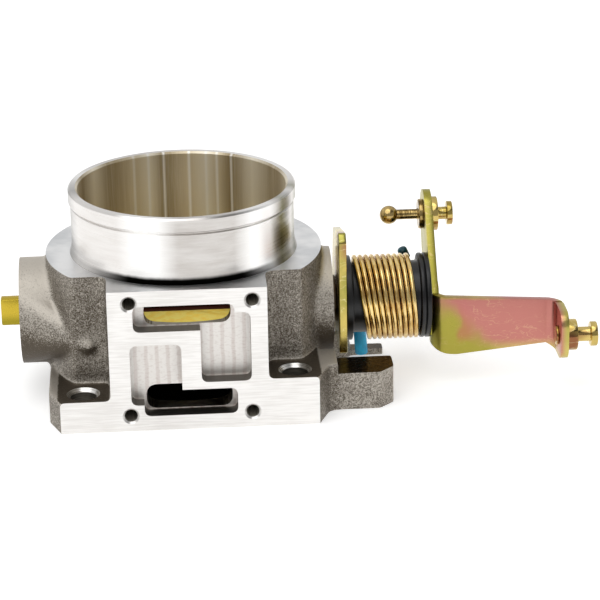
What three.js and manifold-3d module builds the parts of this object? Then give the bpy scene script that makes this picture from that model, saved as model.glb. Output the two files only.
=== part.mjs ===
// Cable-operated engine throttle body: a cast and machined housing, a butterfly plate on a
// cross shaft in sealed bearings, and a sprung bell-crank lever. Millimetres, +Z up. The origin
// is the centre of the bore on the manifold flange; +X runs along the shaft to the lever.
import * as THREE from "three";
import { mergeVertices } from "three/addons/utils/BufferGeometryUtils.js";
import { ConvexGeometry } from "three/addons/geometries/ConvexGeometry.js";
import Module from "manifold-3d";

const wasm = await Module();
wasm.setup();

// ---------------------------------------------------------------- driving dimensions
const FACETS = 48; // around a large round
const FINE_FACETS = 24; // around a shaft, bearing or bushing
const SMALL_FACETS = 16; // around a screw or a stud
const BEND_SEGMENTS = 8; // along each bend of the lever
const HUB_SEGMENTS = 16; // around each round end of the lever

const CUT = 2; // how far a cutting tool runs past the face it enters
const PRESS_GAP = 0.05; // between two pieces that are pressed or clamped together
const RUN_GAP = 0.1; // radial clearance of a turning piece
const REST_GAP = 0.3; // between pieces that lie beside each other

// Housing: bore, inlet barrel and shoulder
const BORE_R = 31;
const INLET_R = 34.95;
const TAPER_START = 30.6; // height where the bore starts to widen
const TAPER_HEIGHT = 3.6;
const INLET_TOP = 71.3;
const INLET_CHAMFER = 0.6;
const RIM_R = 38.1; // 76.2 mm hose neck
const RIM_HEIGHT = 4.8;
const NECK_R = 37.5; // barrel wall below the rim
const NECK_FOOT_R = 38.3;
const NECK_FOOT_HEIGHT = 3.5;
const SHOULDER_Z = 48.8;
const SHOULDER_R = 46.5;

// Housing: manifold flange
const FACE_Y = 42.5; // from the bore axis to the machined front face
const FLANGE_HALF = 42.5; // half width of the machined front face
const FLANGE_CAST_HALF = 46.5; // half width over the cast sides
const FLANGE_CORNER = 10; // run of the slanting cast corner
const FLANGE_HEIGHT = 10.9;
const EAR_HEIGHT = 16.7; // the raised ear beside the stop block
const BOLT_PITCH = 70;
const BOLT_HOLE_R = 4.35;
const BOLT_CHAMFER = 1.2;
const POCKET_X = 26; // the bolt-head pockets start here, which is the side of the front pad
const POCKET_Y = 27;
const POCKET_CORNER = 4;

// Housing: front pad for the idle-air housing
const PAD_TAP_R = 2.1;
const PAD_TAP_DEPTH = 12;
const PAD_TAP_SINK = 0.7;
const PAD_TAP_PITCH_X = 40;
const PAD_TAP_PITCH_Z = 39.1;
const PAD_TAP_LOW_Z = 5.3;
const PAD_TAP_LOWER_X = 0.5; // middle of the lower pair
const PAD_TAP_UPPER_X = 1.1; // middle of the upper pair
const AIR_DEPTH = 6.3;
const AIR_CORNER = 2.4;
const AIR_SLOT_HEIGHT = 8.9;
const AIR_UPPER_Z = 34.6;
const AIR_LOWER_Z = 5.1;
const AIR_OUTER_X = 17.8;
const AIR_WIDE_X = 20.4;
const AIR_UPPER_END_X = 15.2;
const AIR_UPPER_COLUMN_X = 4;
const AIR_UPPER_COLUMN_TOP_Z = 40.4;
const AIR_UPPER_FLOOR_Z = 16.4;
const AIR_LOWER_START_X = -15;
const AIR_LOWER_OUTER_X = -19.2;
const AIR_LOWER_COLUMN_X = -2.4;
const AIR_LOWER_COLUMN_FLOOR_Z = 9;
const AIR_LOWER_TOP_Z = 30;
const AIR_LOWER_END_X = 15.7;
const WINDOW_HALF = 14.2;
const WINDOW_MARGIN = 0.2;
const WINDOW_CORNER = 3.8;

// Shaft line and the two bosses on it
const SHAFT_Z = 28;
const SHAFT_R = 5;
const BOSS_R = 18;
const LEFT_FACE_X = -55.5;
const RIGHT_FACE_X = 49.5;
const GUSSET_X = -32.5; // point of the cast gusset in front of the left boss
const GUSSET_Y = -26.5;
const GUSSET_Z = 24.5;
const GUSSET_R = 2.5;
const SENSOR_TAP_R = 1.65;
const SENSOR_TAP_SPACING = 25;
const SENSOR_TAP_DEPTH = 10;

// Bearings and seals in both bosses
const BEARING_SECTION = 4.5; // 10 x 19 x 5 deep-groove bearing
const BEARING_WIDTH = 5;
const BEARING_R = SHAFT_R + BEARING_SECTION;
const RACE_WALL = 1.4;
const RACE_SPLIT = 0.4;
const RACE_SPLIT_INNER_R = SHAFT_R + RACE_WALL;
const RACE_SPLIT_OUTER_R = RACE_SPLIT_INNER_R + RACE_SPLIT;
const SEAL_WIDTH = 3;
const SEAL_RECESS = 0.5;
const RING_WIDTH = 1;
const RING_RISE = 2; // of the ring beyond the shaft
const RING_SINK = 0.5; // of its groove into the shaft
const RING_R = SHAFT_R + RING_RISE;
const RING_GROOVE_R = SHAFT_R - RING_SINK;
const RING_OPENING = 2.4;

// Butterfly plate and its screws
const PLATE_THICKNESS = 2.5;
const PLATE_GAP = 0.08;
const CLOSED_ANGLE = THREE.MathUtils.degToRad(6);
const PLATE_SCREW_X = 14;
const PLATE_SCREW_R = 2;
const PLATE_SCREW_HEAD_R = 3.4;
const PLATE_SCREW_HEAD_HEIGHT = 1.8;
const PLATE_SCREW_SINK = 1.4;
const PLATE_SCREW_SEAT = SHAFT_R - PLATE_SCREW_SINK; // flat on the shaft, from its axis

// Shaft ends
const BLADE_LENGTH = 6.9;
const BLADE_THICKNESS = 4.6;
const FLAT_SINK = 1;
const FLAT_HALF = SHAFT_R - FLAT_SINK; // half height over the driving flats
const WASHER_WALL = 3;
const WASHER_R = SHAFT_R + WASHER_WALL;
const WASHER_THICKNESS = 1.2;
const PEEN_LIP = 0.6;
const PEEN_R = SHAFT_R + PEEN_LIP;
const PEEN_THICKNESS = 0.6;

// Stop plate beside the right boss
const STOP_X = 51.2;
const METAL = 2.6; // sheet of the stop plate and the lever
const STOP_FRONT_Y = -18;
const STOP_TOP_Z = 28.8;
const STOP_BACK_TOP_Y = 8;
const STOP_BACK_TOP_Z = 23;
const STOP_LOW_Z = -13.6;
const STOP_HUB_R = 13;
const STOP_TOE_Y = 22.5; // toe that rests on the idle screw
const STOP_TOE_TOP_Z = 2;
const STOP_TOE_LOW_Z = -6;

// Spring, its two bushings and the anchor
const WIRE_R = 0.82;
const COIL_R = 13.8;
const COIL_PITCH = 1.865;
const COIL_TILT_START = 0.138; // slope of the first turn against the shaft
const COIL_TILT_END = 0.059; // slope of the last turn
const COIL_TURNS = 10;
const STEPS_PER_TURN = 18;
const WIRE_SIDES = 6;
const BUSH_LIP = 0.7; // flange of a bushing beyond the middle of the wire
const BUSH_CLEARANCE = 0.98; // between a bushing and the coil around it
const FLANGE_BUSH_R = COIL_R + BUSH_LIP;
const CORE_BUSH_R = COIL_R - WIRE_R - BUSH_CLEARANCE;
const LEFT_BUSH_FLANGE = 2.4;
const RIGHT_BUSH_FLANGE = 3.4;
const SPACER_WALL = 1;
const SPACER_R = SHAFT_R + SPACER_WALL;
const FIXED_LEG_LENGTH = 26.4;
const FIXED_LEG_LEAN = 1.8; // how far its end stands from the coil, along the shaft
const FIXED_SLEEVE_R = 2.2;
const FIXED_SLEEVE_LENGTH = 17;
const FREE_LEG_STRAIGHT = 6;
const FREE_LEG_RISE = 5.4;
const FREE_LEG_LEAN = 2.4;
const FREE_SLEEVE_R = 1.7;
const FREE_SLEEVE_START = 0.52; // along the leaning end of the leg

// Stop block, anchor bar and idle-screw lug on the right of the flange
const BLOCK_END_X = 68.6;
const BLOCK_FRONT_Y = -31.5;
const BLOCK_BACK_Y = -17.2;
const BLOCK_TOP_Z = 13;
const BLOCK_CHAMFER = 5;
const BLOCK_BOTTOM_Z = 0;
const BAR_TOP_Z = 2.2;
const BAR_DEPTH = 5;
const BAR_END_X = 69;
const LUG_TOP_Z = 9.4;
const LUG_HALF = 4.6;
const IDLE_SCREW_R = 2.5;
const IDLE_SCREW_Y = 19.4;
const IDLE_SCREW_BOTTOM_Z = 1.6;
const IDLE_SOCKET_R = 1.25;
const IDLE_SOCKET_DEPTH = 2.5;
const IDLE_NUT_FLATS = 8;
const IDLE_NUT_HEIGHT = 4;
const IDLE_NUT_BORE_GAP = 0.08;

// Lever: a plate on the shaft, a forward arm bent from it and a bent tab at its end
const BEND_R = 3; // inside radius
const LEVER_FRONT_Y = -12.6;
const ARM_END_X = 127.6;
const ARM_TOP_Z = 3.7;
const ARM_TOP_DROP = 3;
const ARM_LOW_Z = -17.4;
const ARM_LOW_RISE = 3.1;
const ARM_CORNER = 6;
const TAB_FRONT_Y = -27;
const TAB_LOW_Z = -16;
const TAB_CORNER = 5;
const LINK_Y = 17; // upper stud
const LINK_Z = 23.5;
const LINK_END_R = 8.5;
const LEVER_HUB_R = 13;
const TANG_X = 6;
const TANG_Y = COIL_R + WIRE_R + REST_GAP;
const TANG_LOW_Z = 0.5;
const TANG_HEIGHT = 6;

// Studs
const BALL_R = 3.2;
const BALL_REACH = 11.7; // from the lever face to the ball centre
const BALL_SHANK_R = 1.75;
const BALL_COLLAR_R = 5.15;
const BALL_COLLAR = 1.6;
const TAIL_R = 2.5;
const LINK_COLLAR_R = 5.9;
const LINK_COLLAR = 2.3;
const LINK_WALL = 0.8; // metal left in the collar beyond the tail of the ball stud
const LINK_SHANK_R = 2.2;
const LINK_SHANK = 3.2;
const LINK_HEAD_R = 4.1;
const LINK_HEAD = 2;
const CABLE_Y = -20;
const CABLE_Z = -8.8;
const CABLE_COLLAR_R = 5.3;
const CABLE_COLLAR = 3.5;
const CABLE_SHANK_R = 2.5;
const CABLE_SHANK = 4.6;
const CABLE_HEAD_R = 4.2;
const CABLE_HEAD = 2.3;
const CABLE_RIVET_R = 3.3;
const CABLE_RIVET = 0.9;

// ---------------------------------------------------------------- places worked out from them
const STOP_END_X = STOP_X + METAL;
const LEFT_BUSH_X = STOP_END_X + REST_GAP;
const COIL_START_X = LEFT_BUSH_X + LEFT_BUSH_FLANGE + REST_GAP + WIRE_R + COIL_TILT_START * COIL_R;
const COIL_END_X = COIL_START_X + COIL_PITCH * COIL_TURNS;
const COIL_RIGHT_X = COIL_END_X - COIL_PITCH / 4 + COIL_TILT_END * COIL_R; // last turn, below the shaft
const RIGHT_BUSH_X = COIL_RIGHT_X + WIRE_R + REST_GAP;
const LEVER_X = RIGHT_BUSH_X + RIGHT_BUSH_FLANGE + PRESS_GAP;
const LEVER_END_X = LEVER_X + METAL;
const BUSH_SPLIT_X = (LEFT_BUSH_X + RIGHT_BUSH_X) / 2;
const BAR_FRONT_Y = COIL_R + FIXED_SLEEVE_R + REST_GAP;
const LUG_END_X = COIL_START_X - FIXED_SLEEVE_R - REST_GAP;
const IDLE_TIP_Z = SHAFT_Z + STOP_TOE_LOW_Z - PRESS_GAP;
const OUTER_BEND_R = BEND_R + METAL;

// ---------------------------------------------------------------- solids
function solid(geometry) {
  const bare = geometry.clone();
  for (const name of ["normal", "uv"]) bare.deleteAttribute(name);
  const merged = mergeVertices(bare, 1e-4);
  const corners = merged.index.array;
  const faces = [];
  for (let i = 0; i < corners.length; i += 3) {
    const [a, b, c] = [corners[i], corners[i + 1], corners[i + 2]];
    if (a !== b && b !== c && c !== a) faces.push(a, b, c);
  }
  const vertProperties = Float32Array.from(merged.attributes.position.array);
  const mesh = new wasm.Mesh({ numProp: 3, vertProperties, triVerts: new Uint32Array(faces) });
  return new wasm.Manifold(mesh);
}

function geometryOf(body) {
  const mesh = body.getMesh();
  const geometry = new THREE.BufferGeometry();
  geometry.setAttribute("position", new THREE.BufferAttribute(mesh.vertProperties, 3));
  geometry.setIndex(new THREE.BufferAttribute(mesh.triVerts, 1));
  const flat = geometry.toNonIndexed();
  flat.computeVertexNormals();
  return flat;
}

function join(first, ...others) {
  return others.reduce((sum, body) => sum.add(body), first);
}

function cut(first, ...tools) {
  return tools.reduce((rest, tool) => rest.subtract(tool), first);
}

// Turns a geometry made along +Z so that it lies along the named axis.
const ALONG = {
  z: new THREE.Matrix4(),
  x: new THREE.Matrix4().makeBasis(
    new THREE.Vector3(0, 1, 0),
    new THREE.Vector3(0, 0, 1),
    new THREE.Vector3(1, 0, 0),
  ),
  y: new THREE.Matrix4().makeBasis(
    new THREE.Vector3(0, 0, 1),
    new THREE.Vector3(1, 0, 0),
    new THREE.Vector3(0, 1, 0),
  ),
};

// A round solid from a profile of [radius, distance along the axis] points.
function turned(profile, axis, centre = [0, 0, 0], facets = FACETS) {
  const points = profile.map(([radius, along]) => new THREE.Vector2(radius, along));
  points.push(points[0].clone());
  const area = THREE.ShapeUtils.area(points);
  if (area < 0) points.reverse();
  const geometry = new THREE.LatheGeometry(points, facets);
  geometry.rotateX(Math.PI / 2);
  geometry.applyMatrix4(ALONG[axis]);
  geometry.translate(...centre);
  return solid(geometry);
}

function rod(radius, from, to, axis, centre, facets = FACETS) {
  const profile = [[0, from], [radius, from], [radius, to], [0, to]];
  return turned(profile, axis, centre, facets);
}

function ring(inner, outer, from, to, axis, centre, facets = FINE_FACETS) {
  const profile = [[inner, from], [outer, from], [outer, to], [inner, to]];
  return turned(profile, axis, centre, facets);
}

// A flat shape pushed along an axis. Its first coordinate is Y for x, Z for y and X for z.
function pushed(shape, axis, from, to, curveSegments = 8) {
  const settings = { depth: to - from, bevelEnabled: false, curveSegments };
  const geometry = new THREE.ExtrudeGeometry(shape, settings);
  geometry.translate(0, 0, from);
  geometry.applyMatrix4(ALONG[axis]);
  return solid(geometry);
}

function block([x0, x1], [y0, y1], [z0, z1]) {
  const geometry = new THREE.BoxGeometry(x1 - x0, y1 - y0, z1 - z0);
  geometry.translate((x0 + x1) / 2, (y0 + y1) / 2, (z0 + z1) / 2);
  return solid(geometry);
}

function outline(points) {
  return new THREE.Shape(points.map(([u, v]) => new THREE.Vector2(u, v)));
}

function roundedRectangle([u0, u1], [v0, v1], radius) {
  const quarter = Math.PI / 2;
  const shape = new THREE.Shape();
  shape.moveTo(u0 + radius, v0);
  shape.lineTo(u1 - radius, v0);
  shape.absarc(u1 - radius, v0 + radius, radius, -quarter, 0, false);
  shape.lineTo(u1, v1 - radius);
  shape.absarc(u1 - radius, v1 - radius, radius, 0, quarter, false);
  shape.lineTo(u0 + radius, v1);
  shape.absarc(u0 + radius, v1 - radius, radius, quarter, 2 * quarter, false);
  shape.lineTo(u0, v0 + radius);
  shape.absarc(u0 + radius, v0 + radius, radius, 2 * quarter, 3 * quarter, false);
  return shape;
}

function hexagon(acrossFlats) {
  const corner = acrossFlats / Math.sqrt(3);
  const points = [];
  for (let i = 0; i < 6; i += 1) {
    const angle = (i * Math.PI) / 3;
    points.push([corner * Math.cos(angle), corner * Math.sin(angle)]);
  }
  return outline(points);
}

// ---------------------------------------------------------------- housing
const SHAFT_LINE = [0, 0, SHAFT_Z];

function frontBox(shapes, depth) {
  // Shapes are drawn as [z, x] on the front face and go back from it by the depth.
  return shapes.map((shape) => pushed(shape, "y", -FACE_Y - CUT, -FACE_Y + depth));
}

function castFlange() {
  const run = FLANGE_CORNER;
  const points = [
    [-FLANGE_HALF, -FACE_Y],
    [FLANGE_HALF, -FACE_Y],
    [FLANGE_CAST_HALF, -FACE_Y + run],
    [FLANGE_CAST_HALF, FACE_Y - run],
    [FLANGE_HALF, FACE_Y],
    [-FLANGE_HALF, FACE_Y],
    [-FLANGE_CAST_HALF, FACE_Y - run],
    [-FLANGE_CAST_HALF, -FACE_Y + run],
  ];
  return pushed(outline(points), "z", 0, FLANGE_HEIGHT);
}

function castColumn() {
  const column = rod(SHOULDER_R, 0, SHOULDER_Z, "z");
  const reach = [-SHOULDER_R - CUT, SHOULDER_R + CUT];
  return column.intersect(block(reach, [-FACE_Y, FACE_Y], reach));
}

function frontPad() {
  return block([-POCKET_X, POCKET_X], [-FACE_Y, -POCKET_Y], [0, SHOULDER_Z]);
}

function raisedEar() {
  const points = [
    [POCKET_X, -FACE_Y],
    [FLANGE_HALF, -FACE_Y],
    [FLANGE_CAST_HALF, -FACE_Y + FLANGE_CORNER],
    [RIGHT_FACE_X, BLOCK_FRONT_Y],
    [RIGHT_FACE_X, BLOCK_BACK_Y],
    [POCKET_X, BLOCK_BACK_Y],
  ];
  return pushed(outline(points), "z", 0, EAR_HEIGHT);
}

function leftBoss() {
  const boss = rod(BOSS_R, LEFT_FACE_X, 0, "x", SHAFT_LINE);
  const points = [];
  for (let i = 0; i < FINE_FACETS; i += 1) {
    const angle = (i * 2 * Math.PI) / FINE_FACETS;
    const [across, up] = [BOSS_R * Math.cos(angle), BOSS_R * Math.sin(angle)];
    points.push(new THREE.Vector3(LEFT_FACE_X, across, SHAFT_Z + up));
  }
  const tip = new THREE.IcosahedronGeometry(GUSSET_R, 1);
  tip.translate(GUSSET_X, GUSSET_Y, GUSSET_Z);
  const tipPoints = tip.attributes.position;
  for (let i = 0; i < tipPoints.count; i += 1) {
    points.push(new THREE.Vector3().fromBufferAttribute(tipPoints, i));
  }
  const gusset = solid(new ConvexGeometry(points));
  return join(boss, gusset);
}

function rightBoss() {
  return rod(BOSS_R, 0, RIGHT_FACE_X, "x", SHAFT_LINE);
}

function inletBarrel() {
  const profile = [
    [0, SHAFT_Z],
    [NECK_FOOT_R, SHAFT_Z],
    [NECK_FOOT_R, SHOULDER_Z],
    [NECK_R, SHOULDER_Z + NECK_FOOT_HEIGHT],
    [NECK_R, INLET_TOP - RIM_HEIGHT],
    [RIM_R, INLET_TOP - RIM_HEIGHT],
    [RIM_R, INLET_TOP - INLET_CHAMFER],
    [RIM_R - INLET_CHAMFER, INLET_TOP],
    [0, INLET_TOP],
  ];
  return turned(profile, "z");
}

function stopBlock() {
  const points = [
    [FLANGE_HALF, BLOCK_FRONT_Y],
    [BLOCK_END_X - BLOCK_CHAMFER, BLOCK_FRONT_Y],
    [BLOCK_END_X, BLOCK_FRONT_Y + BLOCK_CHAMFER],
    [BLOCK_END_X, BLOCK_BACK_Y],
    [FLANGE_HALF, BLOCK_BACK_Y],
  ];
  return pushed(outline(points), "z", BLOCK_BOTTOM_Z, BLOCK_TOP_Z);
}

function anchorBar() {
  const bar = block(
    [FLANGE_HALF, BAR_END_X],
    [BAR_FRONT_Y, BAR_FRONT_Y + BAR_DEPTH],
    [BLOCK_BOTTOM_Z, BAR_TOP_Z],
  );
  const lug = block(
    [FLANGE_HALF, LUG_END_X],
    [IDLE_SCREW_Y - LUG_HALF, IDLE_SCREW_Y + LUG_HALF],
    [BLOCK_BOTTOM_Z, LUG_TOP_Z],
  );
  return join(bar, lug);
}

function boltPockets() {
  const tools = [];
  for (const sideX of [-1, 1]) {
    for (const sideY of [-1, 1]) {
      const raised = sideX > 0 && sideY < 0;
      const floor = raised ? EAR_HEIGHT : FLANGE_HEIGHT;
      const far = SHOULDER_R + FACE_Y;
      const spanX = [POCKET_X, far].map((v) => v * sideX).sort((a, b) => a - b);
      const spanY = [POCKET_Y, far].map((v) => v * sideY).sort((a, b) => a - b);
      const shape = roundedRectangle(spanX, spanY, POCKET_CORNER);
      tools.push(pushed(shape, "z", floor, SHOULDER_Z + CUT));
    }
  }
  return tools;
}

function boltHoles() {
  const tools = [];
  for (const sideX of [-1, 1]) {
    for (const sideY of [-1, 1]) {
      const raised = sideX > 0 && sideY < 0;
      const top = raised ? EAR_HEIGHT : FLANGE_HEIGHT;
      const centre = [(sideX * BOLT_PITCH) / 2, (sideY * BOLT_PITCH) / 2, 0];
      const profile = [
        [0, -CUT],
        [BOLT_HOLE_R, -CUT],
        [BOLT_HOLE_R, top - BOLT_CHAMFER],
        [BOLT_HOLE_R + BOLT_CHAMFER, top],
        [BOLT_HOLE_R + BOLT_CHAMFER, top + CUT],
        [0, top + CUT],
      ];
      tools.push(turned(profile, "z", centre, FINE_FACETS));
    }
  }
  return tools;
}

function boreTool() {
  const profile = [
    [0, -CUT],
    [BORE_R, -CUT],
    [BORE_R, TAPER_START],
    [INLET_R, TAPER_START + TAPER_HEIGHT],
    [INLET_R, INLET_TOP - INLET_CHAMFER],
    [INLET_R + INLET_CHAMFER, INLET_TOP],
    [INLET_R + INLET_CHAMFER, INLET_TOP + CUT],
    [0, INLET_TOP + CUT],
  ];
  return turned(profile, "z");
}

function shaftBoreTools() {
  const reach = BEARING_WIDTH + SEAL_WIDTH + SEAL_RECESS + RING_WIDTH + 3 * REST_GAP;
  const through = [LEFT_FACE_X - CUT, RIGHT_FACE_X + CUT];
  const seat = BEARING_R + PRESS_GAP;
  return [
    rod(SHAFT_R + RUN_GAP, ...through, "x", SHAFT_LINE, FINE_FACETS),
    rod(seat, LEFT_FACE_X - CUT, LEFT_FACE_X + reach, "x", SHAFT_LINE, FINE_FACETS),
    rod(seat, RIGHT_FACE_X - reach, RIGHT_FACE_X + CUT, "x", SHAFT_LINE, FINE_FACETS),
  ];
}

function sensorTaps() {
  const from = LEFT_FACE_X - CUT;
  const to = LEFT_FACE_X + SENSOR_TAP_DEPTH;
  return [-1, 1].map((side) => {
    const centre = [0, 0, SHAFT_Z + (side * SENSOR_TAP_SPACING) / 2];
    return rod(SENSOR_TAP_R, from, to, "x", centre, SMALL_FACETS);
  });
}

function padTaps() {
  const tools = [];
  for (const sideX of [-1, 1]) {
    for (const row of [0, 1]) {
      const middle = row === 0 ? PAD_TAP_LOWER_X : PAD_TAP_UPPER_X;
      const across = middle + (sideX * PAD_TAP_PITCH_X) / 2;
      const centre = [across, 0, PAD_TAP_LOW_Z + row * PAD_TAP_PITCH_Z];
      const profile = [
        [0, -FACE_Y - CUT],
        [PAD_TAP_R + PAD_TAP_SINK, -FACE_Y - CUT],
        [PAD_TAP_R + PAD_TAP_SINK, -FACE_Y],
        [PAD_TAP_R, -FACE_Y + PAD_TAP_SINK],
        [PAD_TAP_R, -FACE_Y + PAD_TAP_DEPTH],
        [0, -FACE_Y + PAD_TAP_DEPTH],
      ];
      tools.push(turned(profile, "y", centre, SMALL_FACETS));
    }
  }
  return tools;
}

function idleAirPassages() {
  const upper = [AIR_UPPER_Z, AIR_UPPER_Z + AIR_SLOT_HEIGHT];
  const lower = [AIR_LOWER_Z, AIR_LOWER_Z + AIR_SLOT_HEIGHT];
  const upperColumn = [AIR_UPPER_FLOOR_Z, AIR_UPPER_COLUMN_TOP_Z];
  const lowerColumn = [AIR_LOWER_COLUMN_FLOOR_Z, AIR_LOWER_TOP_Z];
  const pockets = [
    roundedRectangle(upper, [-AIR_OUTER_X, AIR_UPPER_END_X], AIR_CORNER),
    roundedRectangle(upperColumn, [AIR_UPPER_COLUMN_X, AIR_WIDE_X], AIR_CORNER),
    roundedRectangle(lower, [AIR_LOWER_START_X, AIR_LOWER_END_X], AIR_CORNER),
    roundedRectangle(lowerColumn, [AIR_LOWER_OUTER_X, AIR_LOWER_COLUMN_X], AIR_CORNER),
  ];
  const windows = [upper, lower].map(([low, high]) =>
    roundedRectangle(
      [low + WINDOW_MARGIN, high - WINDOW_MARGIN],
      [-WINDOW_HALF, WINDOW_HALF],
      WINDOW_CORNER,
    ),
  );
  return [...frontBox(pockets, AIR_DEPTH), ...frontBox(windows, FACE_Y - BORE_R / 2)];
}

function idleScrewHole() {
  const centre = [STOP_X + METAL / 2, IDLE_SCREW_Y, 0];
  return rod(IDLE_SCREW_R + PRESS_GAP, -CUT, LUG_TOP_Z + CUT, "z", centre, SMALL_FACETS);
}

function housing() {
  const casting = join(
    castColumn(),
    castFlange(),
    frontPad(),
    raisedEar(),
    leftBoss(),
    rightBoss(),
    stopBlock(),
    anchorBar(),
  );
  const shoulderCut = ring(SHOULDER_R, BLOCK_END_X, SHOULDER_Z, INLET_TOP, "z", undefined, FACETS);
  const notched = cut(casting, ...boltPockets(), shoulderCut);
  const whole = join(notched, inletBarrel());
  return cut(
    whole,
    boreTool(),
    ...boltHoles(),
    ...shaftBoreTools(),
    ...sensorTaps(),
    ...padTaps(),
    ...idleAirPassages(),
    idleScrewHole(),
  );
}

// ---------------------------------------------------------------- bearings, seals and idle stop
// Distances along X of one boss's bearing, ring and seal, from its outer face inwards.
function bossStack(faceX, inwards) {
  const seal = faceX + inwards * SEAL_RECESS;
  const retainer = seal + inwards * (SEAL_WIDTH + REST_GAP);
  const bearing = retainer + inwards * (RING_WIDTH + REST_GAP);
  const span = (from, width) => [from, from + inwards * width].sort((a, b) => a - b);
  return {
    seal: span(seal, SEAL_WIDTH),
    retainer: span(retainer, RING_WIDTH),
    bearing: span(bearing, BEARING_WIDTH),
  };
}

const LEFT_STACK = bossStack(LEFT_FACE_X, 1);
const RIGHT_STACK = bossStack(RIGHT_FACE_X, -1);

function outerRace(stack) {
  return ring(RACE_SPLIT_OUTER_R, BEARING_R, ...stack.bearing, "x");
}

function innerRace(stack) {
  return ring(SHAFT_R + PRESS_GAP, RACE_SPLIT_INNER_R, ...stack.bearing, "x");
}

function shaftSeal(stack) {
  return ring(SHAFT_R + RUN_GAP, BEARING_R, ...stack.seal, "x");
}

function idleScrew() {
  const profile = [
    [0, IDLE_SCREW_BOTTOM_Z + IDLE_SOCKET_DEPTH],
    [IDLE_SOCKET_R, IDLE_SCREW_BOTTOM_Z + IDLE_SOCKET_DEPTH],
    [IDLE_SOCKET_R, IDLE_SCREW_BOTTOM_Z],
    [IDLE_SCREW_R, IDLE_SCREW_BOTTOM_Z],
    [IDLE_SCREW_R, IDLE_TIP_Z - IDLE_SOCKET_R],
    [IDLE_SOCKET_R, IDLE_TIP_Z],
    [0, IDLE_TIP_Z],
  ];
  return turned(profile, "z", undefined, SMALL_FACETS);
}

function idleNut() {
  const from = LUG_TOP_Z + PRESS_GAP;
  const to = from + IDLE_NUT_HEIGHT;
  const nut = pushed(hexagon(IDLE_NUT_FLATS), "z", from, to);
  const bore = IDLE_SCREW_R + IDLE_NUT_BORE_GAP;
  return cut(nut, rod(bore, from - CUT, to + CUT, "z", undefined, SMALL_FACETS));
}

// ---------------------------------------------------------------- shaft and butterfly
// Solids from here on are made about the shaft axis, with Z = 0 on it.
function drivenHole(from, to) {
  const round = rod(SHAFT_R + PRESS_GAP, from - CUT, to + CUT, "x", undefined, FINE_FACETS);
  const flat = FLAT_HALF + PRESS_GAP;
  const wide = [-SHAFT_R - CUT, SHAFT_R + CUT];
  return round.intersect(block([from - CUT, to + CUT], wide, [-flat, flat]));
}

function plateSlab(thickness, halfX) {
  const reach = BORE_R + CUT;
  const geometry = new THREE.BoxGeometry(2 * halfX, 2 * reach, thickness);
  geometry.rotateX(CLOSED_ANGLE);
  return solid(geometry);
}

// A round solid whose axis stands square on the closed plate, at a distance along the shaft.
function throughPlate(profile, alongX) {
  const points = profile.map(([radius, along]) => new THREE.Vector2(radius, along));
  const geometry = new THREE.LatheGeometry(points, SMALL_FACETS);
  geometry.rotateX(Math.PI / 2 + CLOSED_ANGLE);
  geometry.translate(alongX, 0, 0);
  return solid(geometry);
}

function throughPlateHole(radius, from, to, alongX) {
  return throughPlate([[0, from], [radius, from], [radius, to], [0, to]], alongX);
}

function shaft() {
  const bladeEnd = LEFT_FACE_X - BLADE_LENGTH;
  const bar = rod(SHAFT_R, bladeEnd, LEVER_END_X + PRESS_GAP, "x", undefined, FINE_FACETS);
  const wide = SHAFT_R + CUT;
  const bladeSides = [-1, 1].map((side) => {
    const spanY = [(side * BLADE_THICKNESS) / 2, side * wide].sort((a, b) => a - b);
    return block([bladeEnd - CUT, LEFT_FACE_X - PRESS_GAP], spanY, [-wide, wide]);
  });
  const drivingFlats = [-1, 1].map((side) => {
    const spanZ = [side * FLAT_HALF, side * wide].sort((a, b) => a - b);
    return block([STOP_X - PRESS_GAP, LEVER_END_X + CUT], [-wide, wide], spanZ);
  });
  const slot = plateSlab(PLATE_THICKNESS + 2 * PLATE_GAP, BORE_R + PLATE_GAP);
  const groove = ring(RING_GROOVE_R, wide, ...grooveSpan(), "x");
  const screwTools = [-1, 1].flatMap((side) => [
    throughPlateHole(PLATE_SCREW_HEAD_R + REST_GAP, PLATE_SCREW_SEAT, wide, side * PLATE_SCREW_X),
    throughPlateHole(PLATE_SCREW_R + RUN_GAP, -wide, wide, side * PLATE_SCREW_X),
  ]);
  const cutBar = cut(bar, ...bladeSides, ...drivingFlats, slot, groove, ...screwTools);
  const peen = LEVER_END_X + PRESS_GAP;
  return join(cutBar, rod(PEEN_R, peen, peen + PEEN_THICKNESS, "x", undefined, FINE_FACETS));
}

function grooveSpan() {
  const [from, to] = LEFT_STACK.retainer;
  return [from - RUN_GAP, to + RUN_GAP];
}

function retainingRing() {
  const whole = ring(RING_GROOVE_R + PRESS_GAP, RING_R, ...LEFT_STACK.retainer, "x");
  const [from, to] = LEFT_STACK.retainer;
  const half = RING_OPENING / 2;
  return cut(whole, block([from - CUT, to + CUT], [-half, half], [-RING_R - CUT, 0]));
}

function butterfly() {
  const disc = rod(BORE_R - RUN_GAP, -BORE_R, BORE_R, "z");
  const plate = disc.intersect(plateSlab(PLATE_THICKNESS, BORE_R));
  const holes = [-1, 1].map((side) =>
    throughPlateHole(PLATE_SCREW_R + RUN_GAP, -CUT - METAL, CUT + METAL, side * PLATE_SCREW_X),
  );
  return cut(plate, ...holes);
}

function plateScrew(alongX) {
  const seat = PLATE_SCREW_SEAT + PRESS_GAP;
  const top = seat + PLATE_SCREW_HEAD_HEIGHT;
  const profile = [
    [0, -SHAFT_R],
    [PLATE_SCREW_R, -SHAFT_R],
    [PLATE_SCREW_R, seat],
    [PLATE_SCREW_HEAD_R, seat],
    [PLATE_SCREW_HEAD_R, seat + PLATE_SCREW_HEAD_HEIGHT / 2],
    [PLATE_SCREW_HEAD_R / 2, top],
    [0, top],
  ];
  return throughPlate(profile, alongX);
}

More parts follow.
